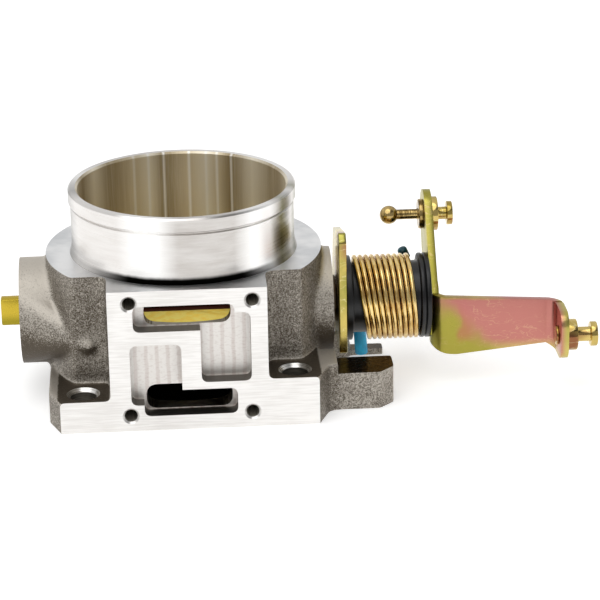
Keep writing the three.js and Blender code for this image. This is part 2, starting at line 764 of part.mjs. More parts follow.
// ---------------------------------------------------------------- stop plate and lever
function stopPlate() {
  const shape = outline([
    [STOP_FRONT_Y, STOP_LOW_Z],
    [-STOP_HUB_R, STOP_LOW_Z],
    [-STOP_HUB_R / 2, -STOP_HUB_R],
    [STOP_HUB_R / 2, -STOP_HUB_R],
    [STOP_HUB_R, STOP_TOE_LOW_Z],
    [STOP_TOE_Y, STOP_TOE_LOW_Z],
    [STOP_TOE_Y, STOP_TOE_TOP_Z],
    [STOP_HUB_R, STOP_TOE_TOP_Z + METAL],
    [STOP_BACK_TOP_Y, STOP_BACK_TOP_Z],
    [STOP_FRONT_Y + METAL, STOP_TOP_Z],
    [STOP_FRONT_Y, STOP_TOP_Z - METAL],
  ]);
  const plate = pushed(shape, "x", STOP_X, STOP_END_X);
  return cut(plate, drivenHole(STOP_X, STOP_END_X));
}

// Outline in [y, z] of the flat part of the lever, whose upper end is round about the link stud.
function leverPlateShape() {
  const edge = new THREE.Vector2(LINK_Y, LINK_Z).normalize();
  const lean = Math.atan2(edge.x, edge.y);
  const front = Math.PI - lean;
  const shape = new THREE.Shape();
  shape.moveTo(LEVER_FRONT_Y + OUTER_BEND_R - CUT, ARM_TOP_Z);
  shape.lineTo(LEVER_FRONT_Y + OUTER_BEND_R - CUT, ARM_LOW_Z + ARM_CORNER);
  shape.lineTo(0, -LEVER_HUB_R);
  shape.absarc(0, 0, LEVER_HUB_R, -Math.PI / 2, 0, false);
  shape.lineTo(TANG_Y + METAL, 0);
  shape.lineTo(TANG_Y + METAL, TANG_LOW_Z + TANG_HEIGHT);
  shape.absarc(LINK_Y, LINK_Z, LINK_END_R, -lean, front, false);
  return shape;
}

// Outline in [x, y] of the bent strip: off the flat, along the arm and forward to the tab.
function bentStripShape() {
  const quarter = Math.PI / 2;
  const firstX = LEVER_X + OUTER_BEND_R;
  const firstY = LEVER_FRONT_Y + OUTER_BEND_R;
  const secondX = ARM_END_X - OUTER_BEND_R;
  const secondY = LEVER_FRONT_Y - BEND_R;
  const shape = new THREE.Shape();
  shape.moveTo(LEVER_X, firstY + CUT);
  shape.lineTo(LEVER_X, firstY);
  shape.absarc(firstX, firstY, OUTER_BEND_R, 2 * quarter, 3 * quarter, false);
  shape.lineTo(secondX, LEVER_FRONT_Y);
  shape.absarc(secondX, secondY, BEND_R, quarter, 0, true);
  shape.lineTo(secondX + BEND_R, TAB_FRONT_Y);
  shape.lineTo(ARM_END_X, TAB_FRONT_Y);
  shape.lineTo(ARM_END_X, secondY);
  shape.absarc(secondX, secondY, OUTER_BEND_R, 0, quarter, false);
  shape.lineTo(firstX, LEVER_FRONT_Y + METAL);
  shape.absarc(firstX, firstY, BEND_R, 3 * quarter, 2 * quarter, true);
  shape.lineTo(LEVER_END_X, firstY + CUT);
  return shape;
}

// Outline in [z, x] of the arm and tab, seen square on from the front.
function armShape() {
  const end = ARM_END_X + CUT;
  const shape = new THREE.Shape();
  shape.moveTo(ARM_TOP_Z, LEVER_X - CUT);
  shape.lineTo(ARM_TOP_Z - ARM_TOP_DROP, end);
  shape.lineTo(TAB_LOW_Z, end);
  shape.lineTo(TAB_LOW_Z, ARM_END_X - METAL);
  shape.lineTo(ARM_LOW_Z + ARM_LOW_RISE, ARM_END_X - OUTER_BEND_R);
  shape.lineTo(ARM_LOW_Z, LEVER_X + ARM_CORNER + METAL);
  shape.quadraticCurveTo(ARM_LOW_Z, LEVER_X, ARM_LOW_Z + ARM_CORNER, LEVER_X - CUT);
  return shape;
}

function lever() {
  const flat = pushed(leverPlateShape(), "x", LEVER_X, LEVER_END_X, HUB_SEGMENTS);
  const strip = pushed(bentStripShape(), "z", ARM_LOW_Z - CUT, ARM_TOP_Z + CUT, BEND_SEGMENTS);
  const arm = strip.intersect(pushed(armShape(), "y", TAB_FRONT_Y - CUT, CUT));
  const tabTop = ARM_TOP_Z - ARM_TOP_DROP;
  const tabSpan = [TAB_LOW_Z, tabTop];
  const cornerTools = tabSpan.map((edgeZ, index) => {
    const inwards = index === 0 ? 1 : -1;
    const away = ARM_END_X - METAL - CUT;
    const spanZ = [edgeZ - inwards * CUT, edgeZ + inwards * TAB_CORNER].sort((a, b) => a - b);
    const corner = block([away, ARM_END_X + CUT], [TAB_FRONT_Y - CUT, TAB_FRONT_Y + TAB_CORNER], spanZ);
    const centre = [0, TAB_FRONT_Y + TAB_CORNER, edgeZ + inwards * TAB_CORNER];
    return cut(corner, rod(TAB_CORNER, away - CUT, ARM_END_X + 2 * CUT, "x", centre, FINE_FACETS));
  });
  const tang = block(
    [LEVER_X - TANG_X, LEVER_X + METAL / 2],
    [TANG_Y, TANG_Y + METAL],
    [TANG_LOW_Z, TANG_LOW_Z + TANG_HEIGHT],
  );
  const holeR = TAIL_R + PRESS_GAP;
  const linkCentre = [0, LINK_Y, LINK_Z];
  const cableCentre = [0, CABLE_Y, CABLE_Z];
  const cableFrom = ARM_END_X - METAL - CUT;
  return cut(
    join(flat, arm, tang),
    ...cornerTools,
    drivenHole(LEVER_X, LEVER_END_X),
    rod(holeR, LEVER_X - CUT, LEVER_END_X + CUT, "x", linkCentre, SMALL_FACETS),
    rod(holeR, cableFrom, ARM_END_X + CUT, "x", cableCentre, SMALL_FACETS),
  );
}

// ---------------------------------------------------------------- studs, from the lever face out
function ballStud() {
  const ballX = -BALL_REACH;
  const collarX = -PRESS_GAP - BALL_COLLAR;
  const tailX = METAL + LINK_COLLAR - LINK_WALL;
  const profile = [[0, ballX - BALL_R]];
  const steps = 7;
  const neck = Math.acos(BALL_SHANK_R / BALL_R);
  for (let i = 1; i <= steps; i += 1) {
    const angle = -Math.PI / 2 + (i * (Math.PI / 2 + neck)) / steps;
    profile.push([BALL_R * Math.cos(angle), ballX + BALL_R * Math.sin(angle)]);
  }
  profile.push(
    [BALL_SHANK_R, collarX],
    [BALL_COLLAR_R, collarX],
    [BALL_COLLAR_R, -PRESS_GAP],
    [TAIL_R, -PRESS_GAP],
    [TAIL_R, tailX],
    [0, tailX],
  );
  return turned(profile, "x", undefined, SMALL_FACETS);
}

function linkPin() {
  const collar = METAL + PRESS_GAP;
  const shankX = collar + LINK_COLLAR;
  const headX = shankX + LINK_SHANK;
  const end = headX + LINK_HEAD;
  const boreEnd = shankX - LINK_WALL + PRESS_GAP;
  const profile = [
    [TAIL_R + PRESS_GAP, collar],
    [LINK_COLLAR_R, collar],
    [LINK_COLLAR_R, shankX],
    [LINK_SHANK_R, shankX],
    [LINK_SHANK_R, headX],
    [LINK_HEAD_R, headX],
    [LINK_HEAD_R, end],
    [0, end],
    [0, boreEnd],
    [TAIL_R + PRESS_GAP, boreEnd],
  ];
  return turned(profile, "x", undefined, SMALL_FACETS);
}

function cableStud() {
  const collar = PRESS_GAP;
  const shankX = collar + CABLE_COLLAR;
  const headX = shankX + CABLE_SHANK;
  const end = headX + CABLE_HEAD;
  const rivet = -METAL - PRESS_GAP;
  const profile = [
    [0, rivet - CABLE_RIVET],
    [CABLE_RIVET_R, rivet - CABLE_RIVET],
    [CABLE_RIVET_R, rivet],
    [TAIL_R, rivet],
    [TAIL_R, collar],
    [CABLE_COLLAR_R, collar],
    [CABLE_COLLAR_R, shankX],
    [CABLE_SHANK_R, shankX],
    [CABLE_SHANK_R, headX],
    [CABLE_HEAD_R, headX],
    [CABLE_HEAD_R, end],
    [0, end],
  ];
  return turned(profile, "x", undefined, SMALL_FACETS);
}

// ---------------------------------------------------------------- spring and what carries it
// The wire comes up its fixed leg behind the shaft, winds to the lever and leaves up behind it.
class SpringWire extends THREE.Curve {
  constructor() {
    super();
    this.coil = Math.hypot(2 * Math.PI * COIL_R, COIL_PITCH) * COIL_TURNS;
    this.lean = Math.hypot(FREE_LEG_RISE, FREE_LEG_LEAN);
    this.whole = FIXED_LEG_LENGTH + this.coil + FREE_LEG_STRAIGHT + this.lean;
  }

  // Centre line of the coil after a share of its turns, each of which leans against the shaft.
  coilPoint(turn, target) {
    const angle = 2 * Math.PI * COIL_TURNS * turn;
    const tilt = COIL_TILT_START + (COIL_TILT_END - COIL_TILT_START) * turn;
    const z = COIL_R * Math.sin(angle);
    const x = COIL_START_X + COIL_PITCH * COIL_TURNS * turn - tilt * z;
    return target.set(x, COIL_R * Math.cos(angle), z);
  }

  getPoint(share, target = new THREE.Vector3()) {
    const run = share * this.whole - FIXED_LEG_LENGTH;
    const leaned = (-run / FIXED_LEG_LENGTH) * FIXED_LEG_LEAN;
    if (run < 0) return target.set(COIL_START_X + leaned, COIL_R, run);
    if (run < this.coil) return this.coilPoint(run / this.coil, target);
    const past = run - this.coil;
    if (past < FREE_LEG_STRAIGHT) return target.set(COIL_END_X, COIL_R, past);
    const leaning = (past - FREE_LEG_STRAIGHT) / this.lean;
    const z = FREE_LEG_STRAIGHT + FREE_LEG_RISE * leaning;
    return target.set(COIL_END_X - FREE_LEG_LEAN * leaning, COIL_R, z);
  }
}

function wireSection(radius, sides) {
  const points = [];
  for (let i = 0; i < sides; i += 1) {
    const angle = (i * 2 * Math.PI) / sides;
    points.push([radius * Math.cos(angle), radius * Math.sin(angle)]);
  }
  return outline(points);
}

function returnSpring() {
  const wire = new SpringWire();
  const steps = Math.round((wire.whole / wire.coil) * COIL_TURNS * STEPS_PER_TURN);
  const settings = { steps, extrudePath: wire, bevelEnabled: false };
  return solid(new THREE.ExtrudeGeometry(wireSection(WIRE_R, WIRE_SIDES), settings));
}

function fixedSleeve() {
  const bottom = -FIXED_LEG_LENGTH + PRESS_GAP;
  const top = bottom + FIXED_SLEEVE_LENGTH;
  const inner = WIRE_R + RUN_GAP;
  const profile = [
    [inner, bottom],
    [FIXED_SLEEVE_R, bottom],
    [FIXED_SLEEVE_R, top],
    [inner, top],
    [inner, bottom],
  ].map(([radius, along]) => new THREE.Vector2(radius, along));
  const geometry = new THREE.LatheGeometry(profile, SMALL_FACETS);
  geometry.rotateX(Math.PI / 2);
  geometry.rotateY(-Math.atan2(FIXED_LEG_LEAN, FIXED_LEG_LENGTH));
  geometry.translate(COIL_START_X, COIL_R, 0);
  return solid(geometry);
}

function freeSleeve() {
  const lean = Math.atan2(FREE_LEG_LEAN, FREE_LEG_RISE);
  const length = Math.hypot(FREE_LEG_LEAN, FREE_LEG_RISE);
  const inner = WIRE_R + RUN_GAP;
  const from = length * FREE_SLEEVE_START;
  const profile = [
    [0, length + RUN_GAP],
    [inner, length + RUN_GAP],
    [inner, from],
    [FREE_SLEEVE_R, from],
    [FREE_SLEEVE_R, length + METAL / 4],
    [FREE_SLEEVE_R / 2, length + METAL / 2],
    [0, length + METAL / 2],
  ].map(([radius, along]) => new THREE.Vector2(radius, along));
  const geometry = new THREE.LatheGeometry(profile, SMALL_FACETS);
  geometry.rotateX(Math.PI / 2);
  geometry.rotateY(-lean);
  geometry.translate(COIL_END_X, COIL_R, FREE_LEG_STRAIGHT);
  return solid(geometry);
}

function leftBushing() {
  const inner = SPACER_R + RUN_GAP;
  const flangeEnd = LEFT_BUSH_X + LEFT_BUSH_FLANGE;
  const profile = [
    [inner, LEFT_BUSH_X],
    [FLANGE_BUSH_R, LEFT_BUSH_X],
    [FLANGE_BUSH_R, flangeEnd],
    [CORE_BUSH_R, flangeEnd],
    [CORE_BUSH_R, BUSH_SPLIT_X - REST_GAP / 2],
    [inner, BUSH_SPLIT_X - REST_GAP / 2],
  ];
  return turned(profile, "x", undefined, FINE_FACETS);
}

function rightBushing() {
  const inner = SPACER_R + PRESS_GAP;
  const profile = [
    [inner, BUSH_SPLIT_X + REST_GAP / 2],
    [CORE_BUSH_R, BUSH_SPLIT_X + REST_GAP / 2],
    [CORE_BUSH_R, RIGHT_BUSH_X],
    [FLANGE_BUSH_R, RIGHT_BUSH_X],
    [FLANGE_BUSH_R, RIGHT_BUSH_X + RIGHT_BUSH_FLANGE],
    [inner, RIGHT_BUSH_X + RIGHT_BUSH_FLANGE],
  ];
  return turned(profile, "x", undefined, FINE_FACETS);
}

function spacer() {
  const from = STOP_END_X + PRESS_GAP;
  return ring(SHAFT_R + PRESS_GAP, SPACER_R, from, LEVER_X - PRESS_GAP, "x");
}

function thrustWasher() {
  const to = STOP_X - 2 * PRESS_GAP;
  return ring(SHAFT_R + PRESS_GAP, WASHER_R, to - WASHER_THICKNESS, to, "x");
}

// ---------------------------------------------------------------- the scene
const FINISH = {
  castAluminium: { color: 0x8d8884, roughness: 0.62, metalness: 0.8 },
  zincPlate: { color: 0xd8b85a, roughness: 0.25, metalness: 1 },
  shaftSteel: { color: 0xb89a2c, roughness: 0.3, metalness: 1 },
  brightSteel: { color: 0xb9bbbd, roughness: 0.25, metalness: 1 },
  brassPlate: { color: 0xe6b84a, roughness: 0.3, metalness: 1 },
  springWire: { color: 0xa9854a, roughness: 0.25, metalness: 1 },
  blackNylon: { color: 0x101012, roughness: 0.3, metalness: 0 },
  blueSleeve: { color: 0x0a6f9e, roughness: 0.4, metalness: 0 },
  sealRubber: { color: 0x17171a, roughness: 0.7, metalness: 0 },
};

function named(name, body, finish, place = [0, 0, 0]) {
  const mesh = new THREE.Mesh(geometryOf(body), new THREE.MeshStandardMaterial(FINISH[finish]));
  mesh.name = name;
  mesh.position.set(...place);
  return mesh;
}

const throttleBody = new THREE.Group();
const onShaft = new THREE.Group();
onShaft.position.set(0, 0, SHAFT_Z);
throttleBody.add(onShaft);

const idlePlace = [STOP_X + METAL / 2, IDLE_SCREW_Y, 0];
throttleBody.add(
  named("throttle_housing", housing(), "castAluminium"),
  named("idle_stop_screw", idleScrew(), "brightSteel", idlePlace),
  named("idle_stop_locknut", idleNut(), "zincPlate", idlePlace),
);

for (const [side, stack] of [["left", LEFT_STACK], ["right", RIGHT_STACK]]) {
  onShaft.add(
    named(`bearing_${side}_outer_race`, outerRace(stack), "brightSteel"),
    named(`bearing_${side}_inner_race`, innerRace(stack), "brightSteel"),
    named(`shaft_seal_${side}`, shaftSeal(stack), "sealRubber"),
  );
}

onShaft.add(
  named("throttle_shaft", shaft(), "shaftSteel"),
  named("shaft_retaining_ring", retainingRing(), "brightSteel"),
  named("throttle_plate", butterfly(), "brassPlate"),
  named("plate_screw_1", plateScrew(-PLATE_SCREW_X), "brightSteel"),
  named("plate_screw_2", plateScrew(PLATE_SCREW_X), "brightSteel"),
  named("thrust_washer", thrustWasher(), "brightSteel"),
  named("stop_plate", stopPlate(), "zincPlate"),
  named("shaft_spacer", spacer(), "brightSteel"),
  named("spring_bushing_left", leftBushing(), "blackNylon"),
  named("spring_bushing_right", rightBushing(), "blackNylon"),
  named("return_spring", returnSpring(), "springWire"),
  named("spring_sleeve_fixed", fixedSleeve(), "blueSleeve"),
  named("spring_sleeve_free", freeSleeve(), "blueSleeve"),
  named("throttle_lever", lever(), "zincPlate"),
  named("link_ball_stud", ballStud(), "zincPlate", [LEVER_X, LINK_Y, LINK_Z]),
  named("link_pin", linkPin(), "zincPlate", [LEVER_X, LINK_Y, LINK_Z]),
  named("cable_stud", cableStud(), "zincPlate", [ARM_END_X, CABLE_Y, CABLE_Z]),
);

export default throttleBody;
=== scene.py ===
"""Finished look of a cable-operated throttle body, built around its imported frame."""
from __future__ import annotations

import logging
import math
from dataclasses import dataclass
from enum import Enum
from typing import Iterable, Sequence

import bmesh
import bpy
from mathutils import Matrix, Vector


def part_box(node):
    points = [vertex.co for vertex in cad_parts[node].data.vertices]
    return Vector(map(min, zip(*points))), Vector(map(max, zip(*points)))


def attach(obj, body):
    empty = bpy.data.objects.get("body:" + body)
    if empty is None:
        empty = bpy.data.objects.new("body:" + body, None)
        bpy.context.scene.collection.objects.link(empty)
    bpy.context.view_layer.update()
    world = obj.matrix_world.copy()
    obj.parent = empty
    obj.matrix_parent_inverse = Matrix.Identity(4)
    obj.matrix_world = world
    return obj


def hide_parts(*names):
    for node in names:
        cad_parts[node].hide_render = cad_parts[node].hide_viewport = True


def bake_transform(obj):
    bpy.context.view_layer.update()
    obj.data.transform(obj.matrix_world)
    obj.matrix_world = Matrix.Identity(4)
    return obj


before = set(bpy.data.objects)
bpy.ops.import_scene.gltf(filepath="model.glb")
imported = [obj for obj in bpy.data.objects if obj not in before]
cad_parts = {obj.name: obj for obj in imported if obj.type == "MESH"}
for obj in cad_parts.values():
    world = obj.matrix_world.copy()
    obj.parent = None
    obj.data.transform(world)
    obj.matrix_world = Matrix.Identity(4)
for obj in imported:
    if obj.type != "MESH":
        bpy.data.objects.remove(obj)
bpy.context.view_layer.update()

MM = 0.001
TINY = 1e-9
WELD = 1e-7
DOUBLE = 2e-6
LOG = logging.getLogger("throttle_body")

BLACK = (0.0, 0.0, 0.0)
WHITE = (1.0, 1.0, 1.0)

# Places of a colour Mix node's sockets.
MIX_MASK, MIX_FIRST, MIX_SECOND, MIX_RESULT = 0, 6, 7, 2

Point2 = tuple[float, float]
Point3 = tuple[float, float, float]
Colour = tuple[float, float, float]


# ------------------------------------------------------------------------------ shader maths
class Wire:
    """A node's output socket that can be used in ordinary arithmetic."""

    def __init__(self, tree: "ShaderTree", socket: bpy.types.NodeSocket) -> None:
        """Wraps a socket.

        Args:
            tree: the tree that new nodes are added to.
            socket: the output to read from.
        """
        self.tree = tree
        self.socket = socket

    def beside(self, output: int) -> "Wire":
        """Another output of the same node."""
        return Wire(self.tree, self.socket.node.outputs[output])

    def _math(self, operation: str, *values: "Wire | float") -> "Wire":
        """Adds one Math node.

        Args:
            operation: Blender's name of the operation.
            values: its inputs in order.

        Returns:
            The node's result.
        """
        inputs = dict(enumerate(values))
        return self.tree.node("ShaderNodeMath", {"operation": operation}, inputs)

    def __add__(self, other: "Wire | float") -> "Wire":
        """self + other."""
        return self._math("ADD", self, other)

    __radd__ = __add__

    def __sub__(self, other: "Wire | float") -> "Wire":
        """self - other."""
        return self._math("SUBTRACT", self, other)

    def __rsub__(self, other: float) -> "Wire":
        """other - self."""
        return self._math("SUBTRACT", other, self)

    def __mul__(self, other: "Wire | float") -> "Wire":
        """self * other."""
        return self._math("MULTIPLY", self, other)

    __rmul__ = __mul__

    def __truediv__(self, other: "Wire | float") -> "Wire":
        """self / other."""
        return self._math("DIVIDE", self, other)

    def __abs__(self) -> "Wire":
        """Size of self without its sign."""
        return self._math("ABSOLUTE", self)

    def above(self, low: float, high: float) -> "Wire":
        """A smooth step.

        Args:
            low: value where the result is 0.
            high: value where the result is 1; it may be below low.

        Returns:
            A mask from 0 to 1.
        """
        settings = {"interpolation_type": "SMOOTHSTEP"}
        if low < high:
            values = {"Value": self, "From Min": low, "From Max": high, "To Min": 0.0, "To Max": 1.0}
        else:
            values = {"Value": self, "From Min": high, "From Max": low, "To Min": 1.0, "To Max": 0.0}
        return self.tree.node("ShaderNodeMapRange", settings, values)


class ShaderTree:
    """A material's or world's node tree, emptied and ready for new nodes."""

    def __init__(self, owner: bpy.types.Material | bpy.types.World) -> None:
        """Empties the owner's tree.

        Args:
            owner: the material or world.
        """
        owner.use_nodes = True
        self.tree = owner.node_tree
        self.tree.nodes.clear()

    def node(
        self,
        kind: str,
        settings: dict[str, object] | None = None,
        inputs: dict[str | int, object] | None = None,
        output: str | int = 0,
    ) -> Wire:
        """Adds a node.

        Args:
            kind: Blender's node type.
            settings: its properties; "stops" holds a colour ramp's stops.
            inputs: socket name or number to a value or a Wire.
            output: name or number of the socket to return.

        Returns:
            The chosen output.
        """
        made = self.tree.nodes.new(kind)
        for name, value in (settings or {}).items():
            if name == "stops":
                self._set_stops(made.color_ramp, value)
            else:
                setattr(made, name, value)
        for name, value in (inputs or {}).items():
            socket = made.inputs[name]
            if isinstance(value, Wire):
                self.tree.links.new(value.socket, socket)
            elif socket.type == "RGBA" and len(value) == 3:
                socket.default_value = (*value, 1.0)
            else:
                socket.default_value = value
        return Wire(self, made.outputs[output] if made.outputs else None)

    @staticmethod
    def _set_stops(ramp: bpy.types.ColorRamp, stops: Sequence[tuple[float, Colour]]) -> None:
        """Fills a colour ramp.

        Args:
            ramp: the ramp.
            stops: positions and colours in rising order.
        """
        while len(ramp.elements) > 1:
            ramp.elements.remove(ramp.elements[-1])
        for index, (place, colour) in enumerate(stops):
            element = ramp.elements[0] if index == 0 else ramp.elements.new(place)
            element.position = place
            element.color = (*colour, 1.0)

    def place(self) -> Wire:
        """Position on the object in metres."""
        return self.node("ShaderNodeTexCoord", output="Object")

    def scaled(self, vector: Wire, factors: Point3) -> Wire:
        """Stretches a position.

        Args:
            vector: the position.
            factors: one factor for each axis.

        Returns:
            The stretched position.
        """
        return self.node(
            "ShaderNodeVectorMath", {"operation": "MULTIPLY"}, {0: vector, 1: factors}, output="Vector"
        )

    def split(self, vector: Wire) -> tuple[Wire, Wire, Wire]:
        """X, Y and Z of a vector."""
        first = self.node("ShaderNodeSeparateXYZ", None, {0: vector})
        return first, first.beside(1), first.beside(2)

    def joined(self, x: Wire | float, y: Wire | float, z: Wire | float) -> Wire:
        """A vector from three values."""
        return self.node("ShaderNodeCombineXYZ", None, {0: x, 1: y, 2: z})

    def noise(self, vector: Wire, scale: float, detail: float = 2.0, roughness: float = 0.5) -> Wire:
        """Cloud noise from 0 to 1.

        Args:
            vector: where it is read.
            scale: cycles per unit of the vector.
            detail: number of finer layers.
            roughness: strength of the finer layers.

        Returns:
            The noise value.
        """
        inputs = {"Vector": vector, "Scale": scale, "Detail": detail, "Roughness": roughness}
        return self.node("ShaderNodeTexNoise", None, inputs)

    def ramp(self, value: Wire, stops: Sequence[tuple[float, Colour]]) -> Wire:
        """Colour from a value."""
        return self.node("ShaderNodeValToRGB", {"stops": stops}, {"Fac": value})

    def mixed(self, mask: Wire | float, first: Wire | Colour, second: Wire | Colour) -> Wire:
        """Mixes two colours.

        Args:
            mask: 0 gives first, 1 gives second.
            first: a colour.
            second: a colour.

        Returns:
            The mixed colour.
        """
        inputs = {MIX_MASK: mask, MIX_FIRST: first, MIX_SECOND: second}
        return self.node("ShaderNodeMix", {"data_type": "RGBA"}, inputs, output=MIX_RESULT)

    def bump(self, height: Wire, depth: float, strength: float = 1.0) -> Wire:
        """A surface normal from a height.

        Args:
            height: 0 to 1.
            depth: metres from low to high.
            strength: share of the effect.

        Returns:
            The normal.
        """
        inputs = {"Height": height, "Distance": depth, "Strength": strength}
        return self.node("ShaderNodeBump", None, inputs, output="Normal")

    def surface(self, **inputs: object) -> None:
        """Ends a material in one Principled shader.

        Args:
            inputs: socket names with _ for spaces, and their values or wires.
        """
        named = {name.replace("_", " "): value for name, value in inputs.items()}
        shader = self.node("ShaderNodeBsdfPrincipled", None, named, output="BSDF")
        self.node("ShaderNodeOutputMaterial", None, {"Surface": shader})


def linear(red: int, green: int, blue: int) -> Colour:
    """Scene-linear colour from display values of 0 to 255.

    Args:
        red: display red.
        green: display green.
        blue: display blue.

    Returns:
        The linear colour.
    """
    return tuple((value / 255.0) ** 2.2 for value in (red, green, blue))


# ------------------------------------------------------------------------------ finishes
class Finish:
    """A finish that makes its Blender material once."""

    made: dict[str, bpy.types.Material] = {}
    name: str

    def material(self) -> bpy.types.Material:
        """The finish's material, made on first use."""
        found = Finish.made.get(self.name)
        if found is None:
            found = bpy.data.materials.new(self.name)
            self.dress(ShaderTree(found))
            Finish.made[self.name] = found
        return found

    def dress(self, tree: ShaderTree) -> None:
        """Builds the nodes.

        Args:
            tree: the material's empty tree.
        """
        raise NotImplementedError


@dataclass(frozen=True)
class SandCast(Finish):
    """Rough sand-cast aluminium: speckled warm grey, with painted light on upward faces, painted shade on
    downward faces and painted shade on the bolt seats.
    """

    name: str = "sand_cast_aluminium"
    dark: Colour = linear(84, 76, 65)
    light: Colour = linear(200, 193, 182)
    grain_scale: float = 2400.0
    blotch_scale: float = 70.0
    block_x: float = 0.052
    block_lift: float = 0.05
    grain_share: float = 0.66
    coarse_share: float = 0.22
    blotch_share: float = 0.16
    top_light: float = 0.16
    under_shade: float = 0.2
    seat_top: float = 0.018
    seat_x: float = 0.043
    seat_shade: float = 0.34

    def dress(self, tree: ShaderTree) -> None:
        """Builds the nodes.

        Args:
            tree: the material's empty tree.
        """
        place = tree.place()
        x, _, z = tree.split(place)
        grain = tree.noise(place, self.grain_scale, 3.0, 0.7)
        coarse = tree.noise(place, self.grain_scale * 0.45, 2.0, 0.6)
        blotch = tree.noise(place, self.blotch_scale, 3.0)
        speckle_and_painted_light = grain * self.grain_share + coarse * self.coarse_share + blotch * self.blotch_share
        speckle_and_painted_light = speckle_and_painted_light + x.above(self.block_x - 0.004, self.block_x) * self.block_lift
        # Painted light on faces that point up and painted shade on faces that point down.
        _, _, slope = tree.split(tree.node("ShaderNodeNewGeometry", output="Normal"))
        speckle_and_painted_light = speckle_and_painted_light + slope.above(0.2, 0.8) * self.top_light
        speckle_and_painted_light = speckle_and_painted_light - slope.above(0.25, -0.6) * self.under_shade
        # Painted shade on the bolt seats low in their pockets.
        seat = slope.above(0.5, 0.8) * z.above(self.seat_top + 0.004, self.seat_top)
        seat = seat * abs(x).above(self.seat_x + 0.001, self.seat_x)
        speckle_and_painted_light = speckle_and_painted_light - seat * self.seat_shade
        colour = tree.mixed(speckle_and_painted_light.above(0.38, 0.66), self.dark, self.light)
        height = grain * 0.6 + coarse * 0.8
        tree.surface(
            Base_Color=colour,
            Metallic=0.7,
            Roughness=0.44 + blotch * 0.16,
            Normal=tree.bump(height, 0.0002, 0.75),
        )


class Lay(Enum):
    """Direction of the tool marks on a machined face."""

    TURNED = "turned about the bore"
    MILLED = "milled on the front face"
    SKIMMED = "skimmed on the casting's blocks"


@dataclass(frozen=True)
class Machined(Finish):
    """Bright machined aluminium with the marks of its tool."""

    name: str = "machined_face"
    lay: Lay = Lay.MILLED
    colour: Colour = linear(236, 236, 237)
    shade: Colour = linear(190, 188, 188)
    rough: float = 0.3

    def dress(self, tree: ShaderTree) -> None:
        """Builds the nodes.

        Args:
            tree: the material's empty tree.
        """
        place = tree.place()
        stretch = {
            Lay.TURNED: (60.0, 60.0, 5200.0),
            Lay.MILLED: (90.0, 90.0, 1800.0),
            Lay.SKIMMED: (500.0, 2600.0, 2600.0),
        }[self.lay]
        marks = tree.noise(tree.scaled(place, stretch), 1.0, 3.0, 0.6)
        cloud = tree.noise(place, 55.0, 3.0)
        mask = (marks * 0.6 + cloud * 0.4).above(0.36, 0.62)
        tree.surface(
            Base_Color=tree.mixed(mask, self.shade, self.colour),
            Metallic=1.0,
            Roughness=self.rough + marks * 0.16,
            Normal=tree.bump(marks, 0.00003, 0.5),
        )


@dataclass(frozen=True)
class TurnedNeck(Finish):
    """Lathe-turned barrel with painted reflections: soft bright, grey and olive bands around it, and a
    painted dark reflection at its foot.
    """

    name: str = "turned_neck_painted_reflections"
    bright: Colour = linear(250, 249, 247)
    pale: Colour = linear(222, 218, 214)
    mid: Colour = linear(194, 189, 184)
    grey: Colour = linear(150, 148, 144)
    olive: Colour = linear(132, 130, 104)
    # Colour of the painted dark reflection along the barrel's foot.
    foot: Colour = linear(14, 14, 12)
    foot_low: float = 0.0498
    foot_wobble: float = 0.0008
    foot_high: float = 0.0512

    def dress(self, tree: ShaderTree) -> None:
        """Builds the nodes.

        Args:
            tree: the material's empty tree.
        """
        place = tree.place()
        x, y, z = tree.split(place)
        around = tree.node("ShaderNodeMath", {"operation": "ARCTAN2"}, {0: x, 1: 0.0 - y})
        # Painted reflections: bright, grey and olive bands at fixed angles around the barrel.
        stops = [
            (0.0, self.pale),
            (0.12, self.mid),
            (0.2, self.bright),
            (0.27, self.grey),
            (0.31, self.pale),
            (0.4, self.pale),
            (0.43, self.bright),
            (0.46, self.bright),
            (0.49, self.mid),
            (0.57, self.mid),
            (0.6, self.bright),
            (0.635, self.bright),
            (0.652, self.mid),
            (0.664, self.olive),
            (0.682, self.grey),
            (0.7, self.pale),
            (0.722, self.olive),
            (0.75, self.pale),
            (0.85, self.bright),
            (1.0, self.pale),
        ]
        painted_reflection_bands = tree.ramp(around / math.tau + 0.5, stops)
        rings = tree.noise(tree.joined(around * 0.3, 0.0, z * 5200.0), 1.0, 3.0, 0.65)
        smear = tree.noise(tree.joined(x * 90.0, y * 90.0, z * 500.0), 1.0, 4.0, 0.6)
        mask = (rings * 0.5 + smear * 0.5).above(0.36, 0.64)
        wall = tree.mixed(mask * 0.3, painted_reflection_bands, self.bright)
        # Painted dark reflection along the foot, strongest at the front.
        wobble = tree.noise(tree.joined(around * 7.0, 1.0, 0.0), 1.0, 2.0)
        foot = (z - wobble * self.foot_wobble).above(self.foot_high, self.foot_low)
        foot = foot * (0.2 + abs(around).above(1.1, 0.5) * 0.8)
        tree.surface(
            Base_Color=tree.mixed(foot, wall, self.foot),
            Metallic=1.0,
            Roughness=0.22 + rings * 0.14,
            Normal=tree.bump(rings, 0.00002, 0.5),
        )


